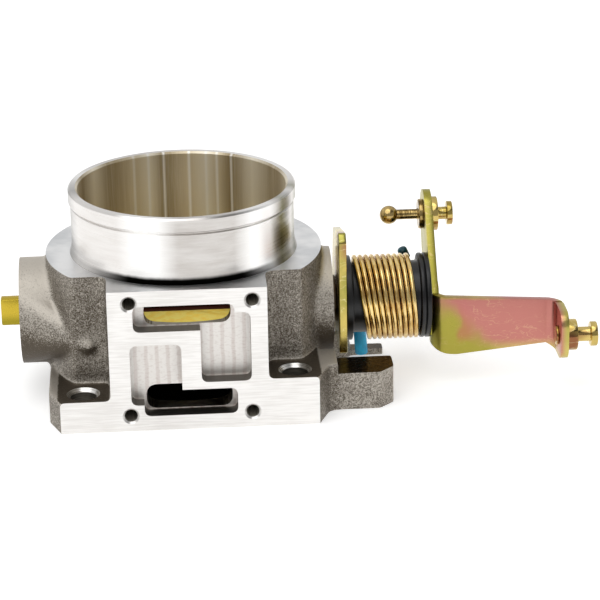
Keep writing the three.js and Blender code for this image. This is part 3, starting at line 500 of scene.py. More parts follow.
@dataclass(frozen=True)
class BoredWall(Finish):
    """Bored inside wall with painted reflections: upright bands of bronze, beige and pale, and thin painted
    silver glints.
    """

    name: str = "bored_wall_painted_reflections"
    painted_glint: Colour = linear(255, 254, 250)
    pale: Colour = linear(238, 230, 210)
    beige: Colour = linear(212, 198, 168)
    bronze: Colour = linear(150, 132, 98)
    glint_half: float = 0.006
    metal: float = 0.45
    glint_places: tuple[float, ...] = (0.35, 0.4, 0.45, 0.53, 0.585, 0.62, 0.67)

    def dress(self, tree: ShaderTree) -> None:
        """Builds the nodes.

        Args:
            tree: the material's empty tree.
        """
        x, y, z = tree.split(tree.place())
        around = tree.node("ShaderNodeMath", {"operation": "ARCTAN2"}, {0: x, 1: abs(y)})
        # Painted reflections: bronze and pale bands and silver glint lines at fixed angles around the bore.
        stops = [(0.0, self.pale), (0.1, self.bronze), (0.18, self.pale), (0.26, self.bronze)]
        tones = (self.beige, self.pale, self.bronze, self.beige, self.pale, self.beige, self.bronze)
        for place, tone in zip(self.glint_places, tones):
            stops += [(place - self.glint_half, tone), (place, self.painted_glint), (place + self.glint_half, tone)]
        stops += [(0.75, self.pale), (0.86, self.bronze), (1.0, self.pale)]
        wall = tree.ramp(around / math.pi + 0.5, stops)
        broad = tree.noise(tree.joined(around * 5.0, 0.0, 0.0), 1.0, 2.0, 0.6)
        fine = tree.noise(tree.joined(around * 60.0, 0.0, z * 60.0), 1.0, 2.0, 0.6)
        tree.surface(
            Base_Color=tree.mixed((broad * 0.7 + fine * 0.3).above(0.4, 0.7) * 0.45, wall, self.pale),
            Metallic=self.metal,
            Roughness=0.28 + fine * 0.14,
            Normal=tree.bump(broad, 0.0003, 0.4),
        )


@dataclass(frozen=True)
class MilledPocket(Finish):
    """End-milled pocket: pale floor with upright tool marks and side walls darkened with painted shade."""

    name: str = "milled_pocket"
    pale: Colour = linear(231, 227, 222)
    mark: Colour = linear(208, 198, 192)
    wall: Colour = linear(120, 116, 110)
    floor_y: float = -0.0362
    wall_reach: Point2 = (0.0004, 0.0012)
    lane: float = 0.0036

    def dress(self, tree: ShaderTree) -> None:
        """Builds the nodes.

        Args:
            tree: the material's empty tree.
        """
        place = tree.place()
        x, y, z = tree.split(place)
        wander = tree.noise(tree.scaled(place, (60.0, 60.0, 160.0)), 1.0, 3.0, 0.6)
        phase = x * (math.tau / self.lane) + wander * 1.6
        lanes = tree.node("ShaderNodeMath", {"operation": "SINE"}, {0: phase})
        chatter = tree.noise(tree.joined(x * 700.0, 0.0, z * 1700.0), 1.0, 2.0, 0.6)
        marks = lanes.above(0.1, 0.9) * 0.6 + chatter.above(0.5, 0.66) * 0.4
        floor = tree.mixed(marks, self.pale, self.mark)
        # Painted shade on the pocket's side walls, away from the floor's depth.
        side = abs(y - self.floor_y).above(*self.wall_reach)
        tree.surface(
            Base_Color=tree.mixed(side, floor, self.wall),
            Metallic=1.0,
            Roughness=0.34 + chatter * 0.16,
            Normal=tree.bump(chatter, 0.00004, 0.5),
        )


@dataclass(frozen=True)
class YellowZinc(Finish):
    """Yellow zinc plate with a green and pink sheen and hair scratches."""

    name: str = "yellow_zinc"
    gold: Colour = linear(206, 184, 104)
    green: Colour = linear(158, 152, 78)
    pink: Colour = linear(160, 118, 84)
    pink_share: float = 0.3
    rough: float = 0.16
    scratch_colour: Colour = linear(236, 222, 168)
    scratch_share: float = 0.5

    def dress(self, tree: ShaderTree) -> None:
        """Builds the nodes.

        Args:
            tree: the material's empty tree.
        """
        place = tree.place()
        drift = tree.noise(place, 75.0, 3.0, 0.5)
        patch = tree.noise(tree.scaled(place, (1.0, 1.0, 1.4)), 48.0, 2.0, 0.5)
        base = tree.mixed(drift.above(0.38, 0.62), self.green, self.gold)
        rosy = patch.above(0.62 - 0.22 * self.pink_share, 0.74 - 0.22 * self.pink_share)
        plated = tree.mixed(rosy, base, self.pink)
        hair = tree.noise(tree.scaled(place, (1.0, 1.0, 2.2)), 120.0, 2.0, 0.5)
        scratch = abs(hair - 0.5).above(0.010, 0.003)
        tree.surface(
            Base_Color=tree.mixed(scratch * self.scratch_share, plated, self.scratch_colour),
            Metallic=1.0,
            Roughness=self.rough + drift * 0.1,
            Normal=tree.bump(hair, 0.00006, 0.35),
        )


@dataclass(frozen=True)
class ShaftPlating(Finish):
    """The shaft: yellow plated, greener towards its lower side, with a painted dark reflection in brown
    between its bearings.
    """

    name: str = "shaft_plating"
    gold: Colour = linear(196, 170, 62)
    green: Colour = linear(142, 130, 44)
    # Colour of the painted dark reflection on the shaft's middle.
    brown: Colour = linear(60, 30, 18)
    shaft_dark_reflection_half: float = 0.054
    shaft_dark_reflection_fade: float = 0.001
    low_top: float = 0.027
    low_bottom: float = 0.0235

    def dress(self, tree: ShaderTree) -> None:
        """Builds the nodes.

        Args:
            tree: the material's empty tree.
        """
        place = tree.place()
        x, _, z = tree.split(place)
        drift = tree.noise(place, 120.0, 2.0)
        marks = tree.noise(tree.scaled(place, (0.2, 1.0, 1.0)), 1400.0, 2.0)
        low = (z - drift * 0.002).above(self.low_top, self.low_bottom)
        ends = tree.mixed(low * 0.8, self.gold, self.green)
        # Painted dark reflection in brown on the part of the shaft between the bearings.
        inside = abs(x).above(self.shaft_dark_reflection_half, self.shaft_dark_reflection_half - self.shaft_dark_reflection_fade)
        colour = tree.mixed(inside, ends, self.brown)
        tree.surface(
            Base_Color=colour,
            Metallic=1.0,
            Roughness=0.2 + marks * 0.12,
            Normal=tree.bump(marks, 0.00002, 0.4),
        )


@dataclass(frozen=True)
class ArmZinc(Finish):
    """The lever's zinc plate: rosy in the middle of its arm, green and gold towards the edges."""

    arm_low: Point3 = (0.0, 0.0, 0.0)
    arm_high: Point3 = (1.0, 1.0, 1.0)
    name: str = "lever_zinc"
    gold: Colour = linear(206, 190, 112)
    green: Colour = linear(162, 154, 70)
    pink: Colour = linear(190, 118, 116)
    rust: Colour = linear(176, 116, 84)
    hair: Colour = linear(226, 190, 150)

    def dress(self, tree: ShaderTree) -> None:
        """Builds the nodes.

        Args:
            tree: the material's empty tree.
        """
        place = tree.place()
        x, _, z = tree.split(place)
        drift = tree.noise(place, 60.0, 3.0, 0.5)
        length = self.arm_high[0] - self.arm_low[0]
        height = self.arm_high[2] - self.arm_low[2]
        along = (x - self.arm_low[0]) / length
        up = (z - self.arm_low[2]) / height
        wander = (drift - 0.5) * 0.5
        inner = (along * 0.8 + up * 0.4 + wander).above(0.2, 0.5) * (up + wander * 0.3).above(0.02, 0.26)
        inner = inner * (up + wander * 0.4).above(1.0, 0.9) * along.above(0.99, 0.93)
        start = (along + wander).above(0.1, 0.16) * (along + wander).above(0.3, 0.2)
        start = start * (up + wander).above(0.1, 0.3) * up.above(0.98, 0.8)
        base = tree.mixed((drift * 0.8 + along * 0.2).above(0.36, 0.66), self.green, self.gold)
        warm = tree.mixed(start * 0.7, base, self.rust)
        plated = tree.mixed(inner * 0.92, warm, self.pink)
        curl = tree.noise(tree.scaled(place, (1.0, 1.0, 1.9)), 95.0, 3.0, 0.55)
        cross = tree.noise(tree.scaled(place, (1.0, 1.0, 3.0)), 170.0, 2.0, 0.5)
        lines = abs(curl - 0.5).above(0.009, 0.002) * 0.6 + abs(cross - 0.47).above(0.012, 0.002) * 0.4
        tree.surface(
            Base_Color=tree.mixed(lines * drift.above(0.3, 0.6) * 0.8, plated, self.hair),
            Metallic=1.0,
            Roughness=0.24 + drift * 0.12,
            Normal=tree.bump(curl, 0.00008, 0.35),
        )


@dataclass(frozen=True)
class PlainMetal(Finish):
    """One metal with faint clouding and fine marks."""

    name: str = "bright_steel"
    colour: Colour = linear(200, 201, 203)
    tint: Colour = linear(160, 160, 163)
    rough: float = 0.22
    mark_scale: float = 900.0

    def dress(self, tree: ShaderTree) -> None:
        """Builds the nodes.

        Args:
            tree: the material's empty tree.
        """
        place = tree.place()
        cloud = tree.noise(place, 160.0, 3.0)
        marks = tree.noise(tree.scaled(place, (3.0, 0.6, 0.6)), self.mark_scale, 2.0)
        mask = (cloud * 0.6 + marks * 0.4).above(0.36, 0.62)
        tree.surface(
            Base_Color=tree.mixed(mask, self.tint, self.colour),
            Metallic=1.0,
            Roughness=self.rough + marks * 0.12,
            Normal=tree.bump(marks, 0.00002, 0.4),
        )


@dataclass(frozen=True)
class Butterfly(Finish):
    """Golden plate with a painted dark reflection in brown where it enters the shaft."""

    name: str = "gold_butterfly"
    gold: Colour = linear(255, 224, 100)
    pale: Colour = linear(255, 236, 126)
    painted_dark_reflection: Colour = linear(74, 36, 20)
    painted_dark_reflection_half: float = 0.0074
    painted_dark_reflection_fade: float = 0.0004

    def dress(self, tree: ShaderTree) -> None:
        """Builds the nodes.

        Args:
            tree: the material's empty tree.
        """
        place = tree.place()
        _, y, _ = tree.split(place)
        cloud = tree.noise(place, 420.0, 3.0)
        plain = tree.mixed(cloud.above(0.35, 0.65), self.gold, self.pale)
        # Painted dark reflection in brown next to the shaft.
        near = abs(y).above(self.painted_dark_reflection_half + self.painted_dark_reflection_fade, self.painted_dark_reflection_half)
        tree.surface(
            Base_Color=tree.mixed(near, plain, self.painted_dark_reflection),
            Metallic=0.75,
            Roughness=0.36 + cloud * 0.14,
            Normal=tree.bump(cloud, 0.00003, 0.4),
        )


@dataclass(frozen=True)
class Moulded(Finish):
    """Moulded plastic or rubber."""

    name: str = "black_nylon"
    colour: Colour = linear(14, 14, 16)
    tint: Colour = linear(26, 26, 29)
    rough: float = 0.24
    clear: float = 0.0

    def dress(self, tree: ShaderTree) -> None:
        """Builds the nodes.

        Args:
            tree: the material's empty tree.
        """
        place = tree.place()
        cloud = tree.noise(place, 240.0, 3.0)
        grain = tree.noise(place, 2600.0, 2.0)
        tree.surface(
            Base_Color=tree.mixed(cloud.above(0.35, 0.7), self.colour, self.tint),
            Roughness=self.rough + cloud * 0.14,
            Transmission_Weight=self.clear,
            Normal=tree.bump(grain, 0.00003, 0.4),
        )


STEEL = PlainMetal()
DARK_STEEL = PlainMetal("dark_steel", linear(96, 84, 72), linear(60, 52, 44), 0.3)
SPRING_BRONZE = PlainMetal("spring_bronze", linear(248, 220, 152), linear(196, 158, 96), 0.14, 700.0)
GOLD_PLATE = Butterfly()
SHAFT_ZINC = ShaftPlating()
NYLON = Moulded("black_nylon", linear(8, 8, 9), linear(16, 16, 18), 0.26)
BLUE_SLEEVE = Moulded("blue_sleeve", linear(0, 150, 200), linear(10, 184, 232), 0.3)
TEAL_SLEEVE = Moulded("teal_sleeve", linear(8, 44, 54), linear(12, 74, 88), 0.28)
SEAL = Moulded("seal_rubber", linear(24, 24, 26), linear(34, 34, 36), 0.6)
ZINC = YellowZinc()
STUD_ZINC = YellowZinc(
    "stud_zinc", linear(216, 190, 116), linear(168, 146, 76), linear(140, 94, 66), 0.5, 0.1
)
STUD_BROWN = PlainMetal("ball_brown", linear(204, 176, 116), linear(104, 84, 48), 0.12)
CAST = SandCast()
FACE = Machined("machined_face", Lay.MILLED, linear(246, 244, 241), linear(228, 225, 221), 0.3)
HOLE_RIM = Machined("hole_rim", Lay.TURNED, linear(250, 249, 246), linear(150, 146, 138), 0.2)
TURNED = Machined("turned_shoulder", Lay.TURNED, linear(250, 250, 250), linear(214, 216, 218), 0.26)
POCKETED = MilledPocket()
# Its dark olive colours are painted: a dark reflection on the stop block's skimmed top and shade on the bar
# behind it.
SKIMMED = Machined("skimmed_block_painted_dark", Lay.SKIMMED, linear(84, 68, 40), linear(34, 26, 14), 0.2)
DRILLED = Machined("drilled_hole", Lay.TURNED, linear(190, 186, 178), linear(90, 86, 80), 0.3)
NECK = TurnedNeck()
BORED = BoredWall()


# ------------------------------------------------------------------------------ mesh tools
def rounded(points: Sequence[Point2], radius: float, steps: int = 4, closed: bool = True) -> list[Point2]:
    """Rounds the corners of an outline.

    Args:
        points: corners in order.
        radius: wanted radius, made smaller where a side is too short.
        steps: segments in each corner.
        closed: whether the last corner joins the first.

    Returns:
        The rounded outline.
    """
    result: list[Point2] = []
    count = len(points)
    for index, corner in enumerate(points):
        if not closed and index in (0, count - 1):
            result.append(corner)
            continue
        here = Vector(corner)
        before = Vector(points[index - 1]) - here
        after = Vector(points[(index + 1) % count]) - here
        half = before.angle(after) / 2.0
        if half > math.radians(88.0) or before.length < TINY or after.length < TINY:
            result.append(corner)
            continue
        reach = min(radius / math.tan(half), before.length * 0.49, after.length * 0.49)
        start = here + before.normalized() * reach
        end = here + after.normalized() * reach
        for step in range(steps + 1):
            share = step / steps
            first = start.lerp(here, share)
            second = here.lerp(end, share)
            result.append(tuple(first.lerp(second, share)))
    return result


class Axis(Enum):
    """Axis that a round or flat piece is made along."""

    X = Matrix(((0, 0, 1), (1, 0, 0), (0, 1, 0)))
    Y = Matrix(((0, 1, 0), (0, 0, 1), (1, 0, 0)))
    Z = Matrix.Identity(3)


class Mesh:
    """Builds meshes in millimetres and hands them over in metres."""

    @staticmethod
    def from_faces(name: str, points: Iterable[Point3], faces: Iterable[Sequence[int]]) -> bpy.types.Object:
        """Makes an object from points and faces.

        Args:
            name: object name.
            points: corners in millimetres.
            faces: corner numbers of each face.

        Returns:
            The new object, in metres.
        """
        data = bpy.data.meshes.new(name)
        data.from_pydata([tuple(value * MM for value in point) for point in points], [], list(faces))
        data.validate()
        made = bpy.data.objects.new(name, data)
        bpy.context.collection.objects.link(made)
        work = bmesh.new()
        work.from_mesh(data)
        bmesh.ops.remove_doubles(work, verts=work.verts, dist=WELD)
        bmesh.ops.recalc_face_normals(work, faces=work.faces)
        if work.calc_volume(signed=True) < 0:
            bmesh.ops.reverse_faces(work, faces=work.faces)
        work.to_mesh(data)
        work.free()
        return made

    @staticmethod
    def turned(
        name: str,
        profile: Sequence[Point2],
        axis: Axis,
        centre: Point3 = (0.0, 0.0, 0.0),
        segments: int = 96,
    ) -> bpy.types.Object:
        """Makes a round piece.

        Args:
            name: object name.
            profile: closed outline of (radius, distance along the axis) corners.
            axis: its axis.
            centre: point that the axis passes through.
            segments: number of sides.

        Returns:
            The new object.
        """
        points: list[Point3] = []
        faces: list[list[int]] = []
        count = len(profile)
        for turn in range(segments):
            angle = math.tau * turn / segments
            for radius, along in profile:
                local = Vector((radius * math.cos(angle), radius * math.sin(angle), along))
                points.append(tuple(axis.value @ local + Vector(centre)))
        for turn in range(segments):
            onward = (turn + 1) % segments
            for index in range(count):
                following = (index + 1) % count
                if profile[index][0] < TINY and profile[following][0] < TINY:
                    continue
                a, b = turn * count + index, turn * count + following
                c, d = onward * count + following, onward * count + index
                if profile[index][0] < TINY:
                    faces.append([a, b, c])
                elif profile[following][0] < TINY:
                    faces.append([a, b, d])
                else:
                    faces.append([a, b, c, d])
        return Mesh.from_faces(name, points, faces)

    @staticmethod
    def pushed(
        name: str, outline: Sequence[Point2], axis: Axis, low: float, high: float
    ) -> bpy.types.Object:
        """Makes a flat piece from an outline.

        Args:
            name: object name.
            outline: corners; (y, z) for X, (z, x) for Y and (x, y) for Z.
            axis: direction of its thickness.
            low: start along the axis.
            high: end along the axis.

        Returns:
            The new object.
        """
        count = len(outline)
        points = [
            tuple(axis.value @ Vector((first, second, along)))
            for along in (low, high)
            for first, second in outline
        ]
        faces: list[Sequence[int]] = [list(range(count)), list(range(count, 2 * count))]
        for index in range(count):
            following = (index + 1) % count
            faces.append([index, following, following + count, index + count])
        return Mesh.from_faces(name, points, faces)

    @staticmethod
    def block(name: str, x: Point2, y: Point2, z: Point2) -> bpy.types.Object:
        """A cutting or filling block between two limits on each axis."""
        outline = [(x[0], y[0]), (x[1], y[0]), (x[1], y[1]), (x[0], y[1])]
        return Mesh.pushed(name, outline, Axis.Z, z[0], z[1])

    @staticmethod
    def hull(name: str, points: Iterable[Point3]) -> bpy.types.Object:
        """The tightest solid around points.

        Args:
            name: object name.
            points: in millimetres.

        Returns:
            The new object.
        """
        work = bmesh.new()
        for point in points:
            work.verts.new([value * MM for value in point])
        found = bmesh.ops.convex_hull(work, input=work.verts)
        loose = [item for item in found["geom_interior"] if isinstance(item, bmesh.types.BMVert)]
        bmesh.ops.delete(work, geom=loose, context="VERTS")
        data = bpy.data.meshes.new(name)
        work.to_mesh(data)
        work.free()
        made = bpy.data.objects.new(name, data)
        bpy.context.collection.objects.link(made)
        return made

    @staticmethod
    def tube(name: str, path: Sequence[Point3], radius: float, sides: int = 14) -> bpy.types.Object:
        """A round wire along a path.

        Args:
            name: object name.
            path: its centre line in millimetres.
            radius: wire radius.
            sides: number of sides.

        Returns:
            The new object.
        """
        line = [Vector(point) for point in path]
        last = len(line) - 1
        points: list[Point3] = []
        side = Vector((1.0, 0.0, 0.0))
        for index, here in enumerate(line):
            ahead = (line[min(index + 1, last)] - line[max(index - 1, 0)]).normalized()
            side = (side - ahead * side.dot(ahead)).normalized()
            across = ahead.cross(side)
            for turn in range(sides):
                angle = math.tau * turn / sides
                offset = side * math.cos(angle) + across * math.sin(angle)
                points.append(tuple(here + offset * radius))
        faces: list[Sequence[int]] = [list(range(sides)), list(range(last * sides, (last + 1) * sides))]
        for index in range(last):
            for turn in range(sides):
                onward = (turn + 1) % sides
                low, high = index * sides, (index + 1) * sides
                faces.append([low + turn, low + onward, high + onward, high + turn])
        return Mesh.from_faces(name, points, faces)


def apply_modifiers(piece: bpy.types.Object) -> bpy.types.Object:
    """Bakes a piece's modifiers into its mesh."""
    bpy.context.view_layer.update()
    posed = piece.evaluated_get(bpy.context.evaluated_depsgraph_get())
    data = bpy.data.meshes.new_from_object(posed)
    piece.modifiers.clear()
    piece.data = data
    return piece


def paint(piece: bpy.types.Object, finish: Finish) -> bpy.types.Object:
    """Gives a whole piece one finish."""
    piece.data.materials.clear()
    piece.data.materials.append(finish.material())
    return piece


def combine(
    piece: bpy.types.Object, tools: Sequence[bpy.types.Object], operation: str
) -> bpy.types.Object:
    """Joins or cuts a piece with tools that leave their own finish behind.

    Args:
        piece: the piece that stays.
        tools: solids that are used up.
        operation: UNION or DIFFERENCE.

    Returns:
        The piece.
    """
    for tool in tools:
        step = piece.modifiers.new("combine", "BOOLEAN")
        step.operation = operation
        step.solver = "MANIFOLD"
        step.object = tool
        step.material_mode = "TRANSFER"
        apply_modifiers(piece)
        bpy.data.objects.remove(tool)
    return piece


def fused(name: str, parts: Sequence[bpy.types.Object], grain: float, passes: int) -> bpy.types.Object:
    """Melts overlapping solids into one cast skin with filleted joins.

    Args:
        name: object name.
        parts: solids that are used up.
        grain: size of the skin's cells in millimetres.
        passes: how often the skin is smoothed.

    Returns:
        The cast piece.
    """
    work = bmesh.new()
    for part in parts:
        work.from_mesh(part.data)
        bpy.data.objects.remove(part)
    data = bpy.data.meshes.new(name)
    work.to_mesh(data)
    work.free()
    piece = bpy.data.objects.new(name, data)
    bpy.context.collection.objects.link(piece)
    skin = piece.modifiers.new("skin", "REMESH")
    skin.mode = "VOXEL"
    skin.voxel_size = grain * MM
    soften = piece.modifiers.new("soften", "SMOOTH")
    soften.factor = 0.5
    soften.iterations = passes
    return apply_modifiers(piece)


def shade(piece: bpy.types.Object, sharp_degrees: float = 32.0) -> bpy.types.Object:
    """Smooth shading that keeps the edges above an angle crisp."""
    piece.data.polygons.foreach_set("use_smooth", [True] * len(piece.data.polygons))
    piece.data.set_sharp_from_angle(angle=math.radians(sharp_degrees))
    return piece


def soften(
    piece: bpy.types.Object, width: float, segments: int = 2, degrees: float = 40.0
) -> bpy.types.Object:
    """Breaks a piece's sharp edges.

    Args:
        piece: the piece.
        width: width of the broken edge in millimetres.
        segments: faces across it.
        degrees: smallest angle that counts as an edge.

    Returns:
        The piece.
    """
    soft = piece.modifiers.new("edge", "BEVEL")
    soft.width = width * MM
    soft.segments = segments
    soft.limit_method = "ANGLE"
    soft.angle_limit = math.radians(degrees)
    return apply_modifiers(piece)


def cleaned(data: bpy.types.Mesh, degrees: float) -> None:
    """Merges doubled corners and faces that lie in one plane.

    Args:
        data: the mesh.
        degrees: largest angle that counts as flat.
    """
    work = bmesh.new()
    work.from_mesh(data)
    bmesh.ops.remove_doubles(work, verts=work.verts, dist=DOUBLE)
    bmesh.ops.dissolve_limit(work, angle_limit=math.radians(degrees), verts=work.verts, edges=work.edges)
    work.to_mesh(data)
    work.free()


def refined(name: str, node: str, edge: float, finish: Finish) -> bpy.types.Object:
    """A copy of a frame node with clean faces and softened edges.

    Args:
        name: object name.
        node: the frame node that is copied.
        edge: width of the softened edge in millimetres.
        finish: its finish.

    Returns:
        The new object.
    """
    piece = bpy.data.objects.new(name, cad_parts[node].data.copy())
    bpy.context.collection.objects.link(piece)
    cleaned(piece.data, 1.0)
    soften(piece, edge)
    return shade(paint(piece, finish))


# ------------------------------------------------------------------------------ bodies and slots
class Body(Enum):
    """The two rigid bodies of the frame."""

    HOUSING = "housing"
    THROTTLE = "throttle"


class Slot(Enum):
    """The record's material slots."""

    CAST = "cast_aluminium"
    STEEL = "bright_steel"
    ZINC = "zinc_plate"
    BRASS = "plate_brass"
    RUBBER = "seal_rubber"
    NYLON = "black_nylon"
    WIRE = "spring_wire"
    SLEEVE = "blue_sleeve"


def install(piece: bpy.types.Object, node: str, body: Body) -> None:
    """Puts a finished piece in the place of a frame node.

    Args:
        piece: the piece.
        node: the frame node it stands for.
        body: the body it rides on.
    """
    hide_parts(node)
    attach(piece, body.value)
    LOG.info("%s stands for %s on %s", piece.name, node, body.value)


def box_mm(node: str) -> tuple[Vector, Vector]:
    """Lowest and highest corner of a frame node in millimetres."""
    low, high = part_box(node)
    return Vector(low) / MM, Vector(high) / MM


def keep(node: str, finish: Finish) -> None:
    """Gives a frame node that stays a finish of its own."""
    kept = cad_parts[node]
    for slot in kept.material_slots:
        slot.link = "OBJECT"
        slot.material = finish.material()
    LOG.info("%s stays, in %s", node, finish.name)


# ------------------------------------------------------------------------------ shared places
SHAFT_Z = 28.0
SHAFT_LINE = (0.0, 0.0, SHAFT_Z)
LEFT_FACE_X = -55.5
RIGHT_FACE_X = 49.5
SHEET = 2.6
STOP_X = 51.2
CUT = 2.0
SLIVER = 0.1
FIT = 0.05
REST_GAP = 0.3
WIRE_R = 0.82
COIL_R = 13.8
COIL_PITCH = 1.865
COIL_TURNS = 10
TILT_START = 0.138
TILT_END = 0.059
LEFT_BUSH_X = STOP_X + SHEET + REST_GAP
LEFT_BUSH_FLANGE = 2.4
RIGHT_BUSH_FLANGE = 3.4
COIL_START_X = LEFT_BUSH_X + LEFT_BUSH_FLANGE + REST_GAP + WIRE_R + TILT_START * COIL_R
COIL_END_X = COIL_START_X + COIL_PITCH * COIL_TURNS
RIGHT_BUSH_X = COIL_END_X - COIL_PITCH / 4 + TILT_END * COIL_R + WIRE_R + REST_GAP
LEVER_X = RIGHT_BUSH_X + RIGHT_BUSH_FLANGE + FIT
BLOCK_FRONT_Y = -31.5
BLOCK_BACK_Y = -17.2
BLOCK_END_X = 68.6


def rod(
    name: str,
    radius: float,
    span: Point2,
    axis: Axis,
    centre: Point3 = (0.0, 0.0, 0.0),
    segments: int = 64,
) -> bpy.types.Object:
    """A round bar between two distances along its axis.

    Args:
        name: object name.
        radius: its radius.
        span: start and end along the axis.
        axis: its axis.
        centre: point on the axis.
        segments: number of sides.

    Returns:
        The new object.
    """
    low, high = span
    profile: list[Point2] = [(0.0, low), (radius, low), (radius, high), (0.0, high)]
    return Mesh.turned(name, profile, axis, centre, segments)


def arc(centre: Point2, radius: float, start: float, end: float, steps: int) -> list[Point2]:
    """Points on an arc from one angle to another, in degrees."""
    points = []
    for step in range(steps + 1):
        angle = math.radians(start + (end - start) * step / steps)
        points.append((centre[0] + radius * math.cos(angle), centre[1] + radius * math.sin(angle)))
    return points


# ------------------------------------------------------------------------------ housing
@dataclass
class Housing:
    """The cast and machined housing with its turned inlet barrel."""

    bore_r: float = 31.0
    inlet_r: float = 34.95
    taper_start: float = 30.6
    taper_height: float = 3.6
    inlet_top: float = 71.3
    inlet_chamfer: float = 0.7
    rim_r: float = 38.1
    rim_height: float = 4.8
    neck_r: float = 37.5
    neck_foot_r: float = 38.3
    neck_foot_height: float = 3.5
    shoulder_z: float = 48.8
    shoulder_r: float = 46.5
    face_y: float = 42.5
    flange_half: float = 42.5
    flange_cast_half: float = 46.5
    flange_corner: float = 10.0
    flange_height: float = 10.9
    ear_height: float = 16.7
    bolt_pitch: float = 70.0
    bolt_r: float = 4.35
    bolt_chamfer: float = 1.2
    pocket_x: float = 26.0
    pocket_y: float = 27.0
    pocket_corner: float = 4.0
    boss_r: float = 18.0
    face_margin: float = 2.4
    gusset_tip: Point3 = (-32.5, -26.5, 24.5)
    gusset_r: float = 2.5
    block_inner_x: float = 40.0
    block_chamfer: float = 5.0
    block_top: float = 13.0
    bar_end_x: float = 69.0
    bar_y: Point2 = (16.3, 21.3)
    bar_top: float = 2.2
    top_cut_y: Point2 = (-40.0, -12.0)
    bar_cut_x: float = 57.6
    bar_cut_y: Point2 = (10.0, 26.0)
    bar_cut_top: float = 9.0
    lug_end_x: float = 57.0
    lug_y: Point2 = (14.8, 24.0)
    lug_top: float = 9.4
    groove: float = 0.45
    foot_flare: Point2 = (0.35, 0.8)
    bead_low_edge: float = 0.35
    bead_top_edge: float = 0.55
    outlet_chamfer: float = 0.6
    round_sides: int = 160
    shaft_bore_r: float = 5.1
    seat_r: float = 9.55
    seat_depth: float = 10.4
    sensor_tap_r: float = 1.65
    sensor_half_pitch: float = 12.5
    sensor_tap_depth: float = 10.0
    tap_half_pitch: float = 20.0
    tap_rows: tuple[Point2, ...] = ((0.5, 5.3), (1.1, 44.4))
    tap_rim_r: float = 2.75
    tap_mouth_r: float = 2.05
    tap_crest_r: float = 2.0
    tap_root_r: float = 2.2
    tap_pitch: float = 0.7
    tap_depth: float = 11.0
    air_boxes: tuple[tuple[Point2, Point2], ...] = (
        ((34.6, 43.5), (-17.8, 15.2)),
        ((16.4, 40.4), (4.0, 20.4)),
        ((5.1, 14.0), (-15.0, 15.7)),
        ((9.0, 30.0), (-19.2, -2.4)),
    )
    air_depth: float = 6.3
    air_corner: float = 2.4
    window_heights: tuple[Point2, ...] = ((34.8, 43.3), (5.3, 13.8))
    window_half: float = 14.2
    window_corner: float = 3.8
    idle_hole_y: float = 19.4
    idle_hole_r: float = 2.55
    idle_hole_top: float = 12.0
    stock: float = 1.6
    skin_grain: float = 0.75
    skin_passes: int = 7
    crispness: int = 90

    def cast_column(self) -> bpy.types.Object:
        """The round body under the barrel, with its four bolt-head pockets and the front pad."""
        top = self.shoulder_z + self.stock
        column = rod("column", self.shoulder_r, (-self.stock, top), Axis.Z, segments=128)
        far = self.shoulder_r + self.face_y
        back = Mesh.block("back_flat", (-far, far), (self.face_y, far), (-CUT - self.stock, top + CUT))
        combine(column, [back], "DIFFERENCE")
        front = self.face_y + self.stock
        pad_y = (-front, -self.pocket_y)
        pad = Mesh.block("pad", (-self.pocket_x, self.pocket_x), pad_y, (-self.stock, top))
        combine(column, [pad], "UNION")
        return combine(column, self.bolt_pockets(), "DIFFERENCE")

    def bolt_pockets(self) -> list[bpy.types.Object]:
        """Round-cornered solids that clear the four bolt heads."""
        tools = []
        far = self.shoulder_r + self.face_y
        for side_x in (-1, 1):
            for side_y in (-1, 1):
                floor = self.ear_height if side_x > 0 > side_y else self.flange_height
                corners = [
                    (side_x * self.pocket_x, side_y * self.pocket_y),
                    (side_x * far, side_y * self.pocket_y),
                    (side_x * far, side_y * far),
                    (side_x * self.pocket_x, side_y * far),
                ]
                outline = rounded(corners, self.pocket_corner, 6)
                top = self.shoulder_z + 2 * self.stock + CUT
                tools.append(Mesh.pushed("bolt_pocket", outline, Axis.Z, floor - self.stock, top))
        return tools

    def cast_flange(self) -> bpy.types.Object:
        """The manifold flange as cast."""
        front = self.face_y + self.stock
        back = self.face_y
        half, wide, run = self.flange_half, self.flange_cast_half, self.flange_corner
        outline = [
            (-half, -front),
            (half, -front),
            (half, -self.face_y),
            (wide, -self.face_y + run),
            (wide, back - run),
            (half, back),
            (-half, back),
            (-wide, back - run),
            (-wide, -self.face_y + run),
            (-half, -self.face_y),
        ]
        return Mesh.pushed("flange", outline, Axis.Z, -self.stock, self.flange_height)

    def raised_ear(self) -> bpy.types.Object:
        """The tall ear that joins the flange to the stop block."""
        outline = [
            (self.pocket_x, -self.face_y - self.stock),
            (self.flange_half, -self.face_y - self.stock),
            (self.flange_half, -self.face_y),
            (self.flange_cast_half, -self.face_y + self.flange_corner),
            (RIGHT_FACE_X, BLOCK_FRONT_Y),
            (RIGHT_FACE_X, BLOCK_BACK_Y),
            (self.pocket_x, BLOCK_BACK_Y),
        ]
        return Mesh.pushed("ear", outline, Axis.Z, -self.stock, self.ear_height)

    def bosses(self) -> list[bpy.types.Object]:
        """The two shaft bosses and the gusset in front of the left one."""
        left = rod("left_boss", self.boss_r, (LEFT_FACE_X - self.stock, 0.0), Axis.X, SHAFT_LINE)
        right = rod("right_boss", self.boss_r, (0.0, RIGHT_FACE_X + self.stock), Axis.X, SHAFT_LINE)
        points: list[Point3] = []
        for y, z in arc((0.0, SHAFT_Z), self.boss_r, 0.0, 352.5, 47):
            points.append((LEFT_FACE_X - self.stock, y, z))
        tip_x, tip_y, tip_z = self.gusset_tip
        for u, v in arc((0.0, 0.0), self.gusset_r, 0.0, 330.0, 11):
            points.append((tip_x + u, tip_y + v, tip_z))
            points.append((tip_x, tip_y + u, tip_z + v))
        return [left, right, Mesh.hull("gusset", points)]

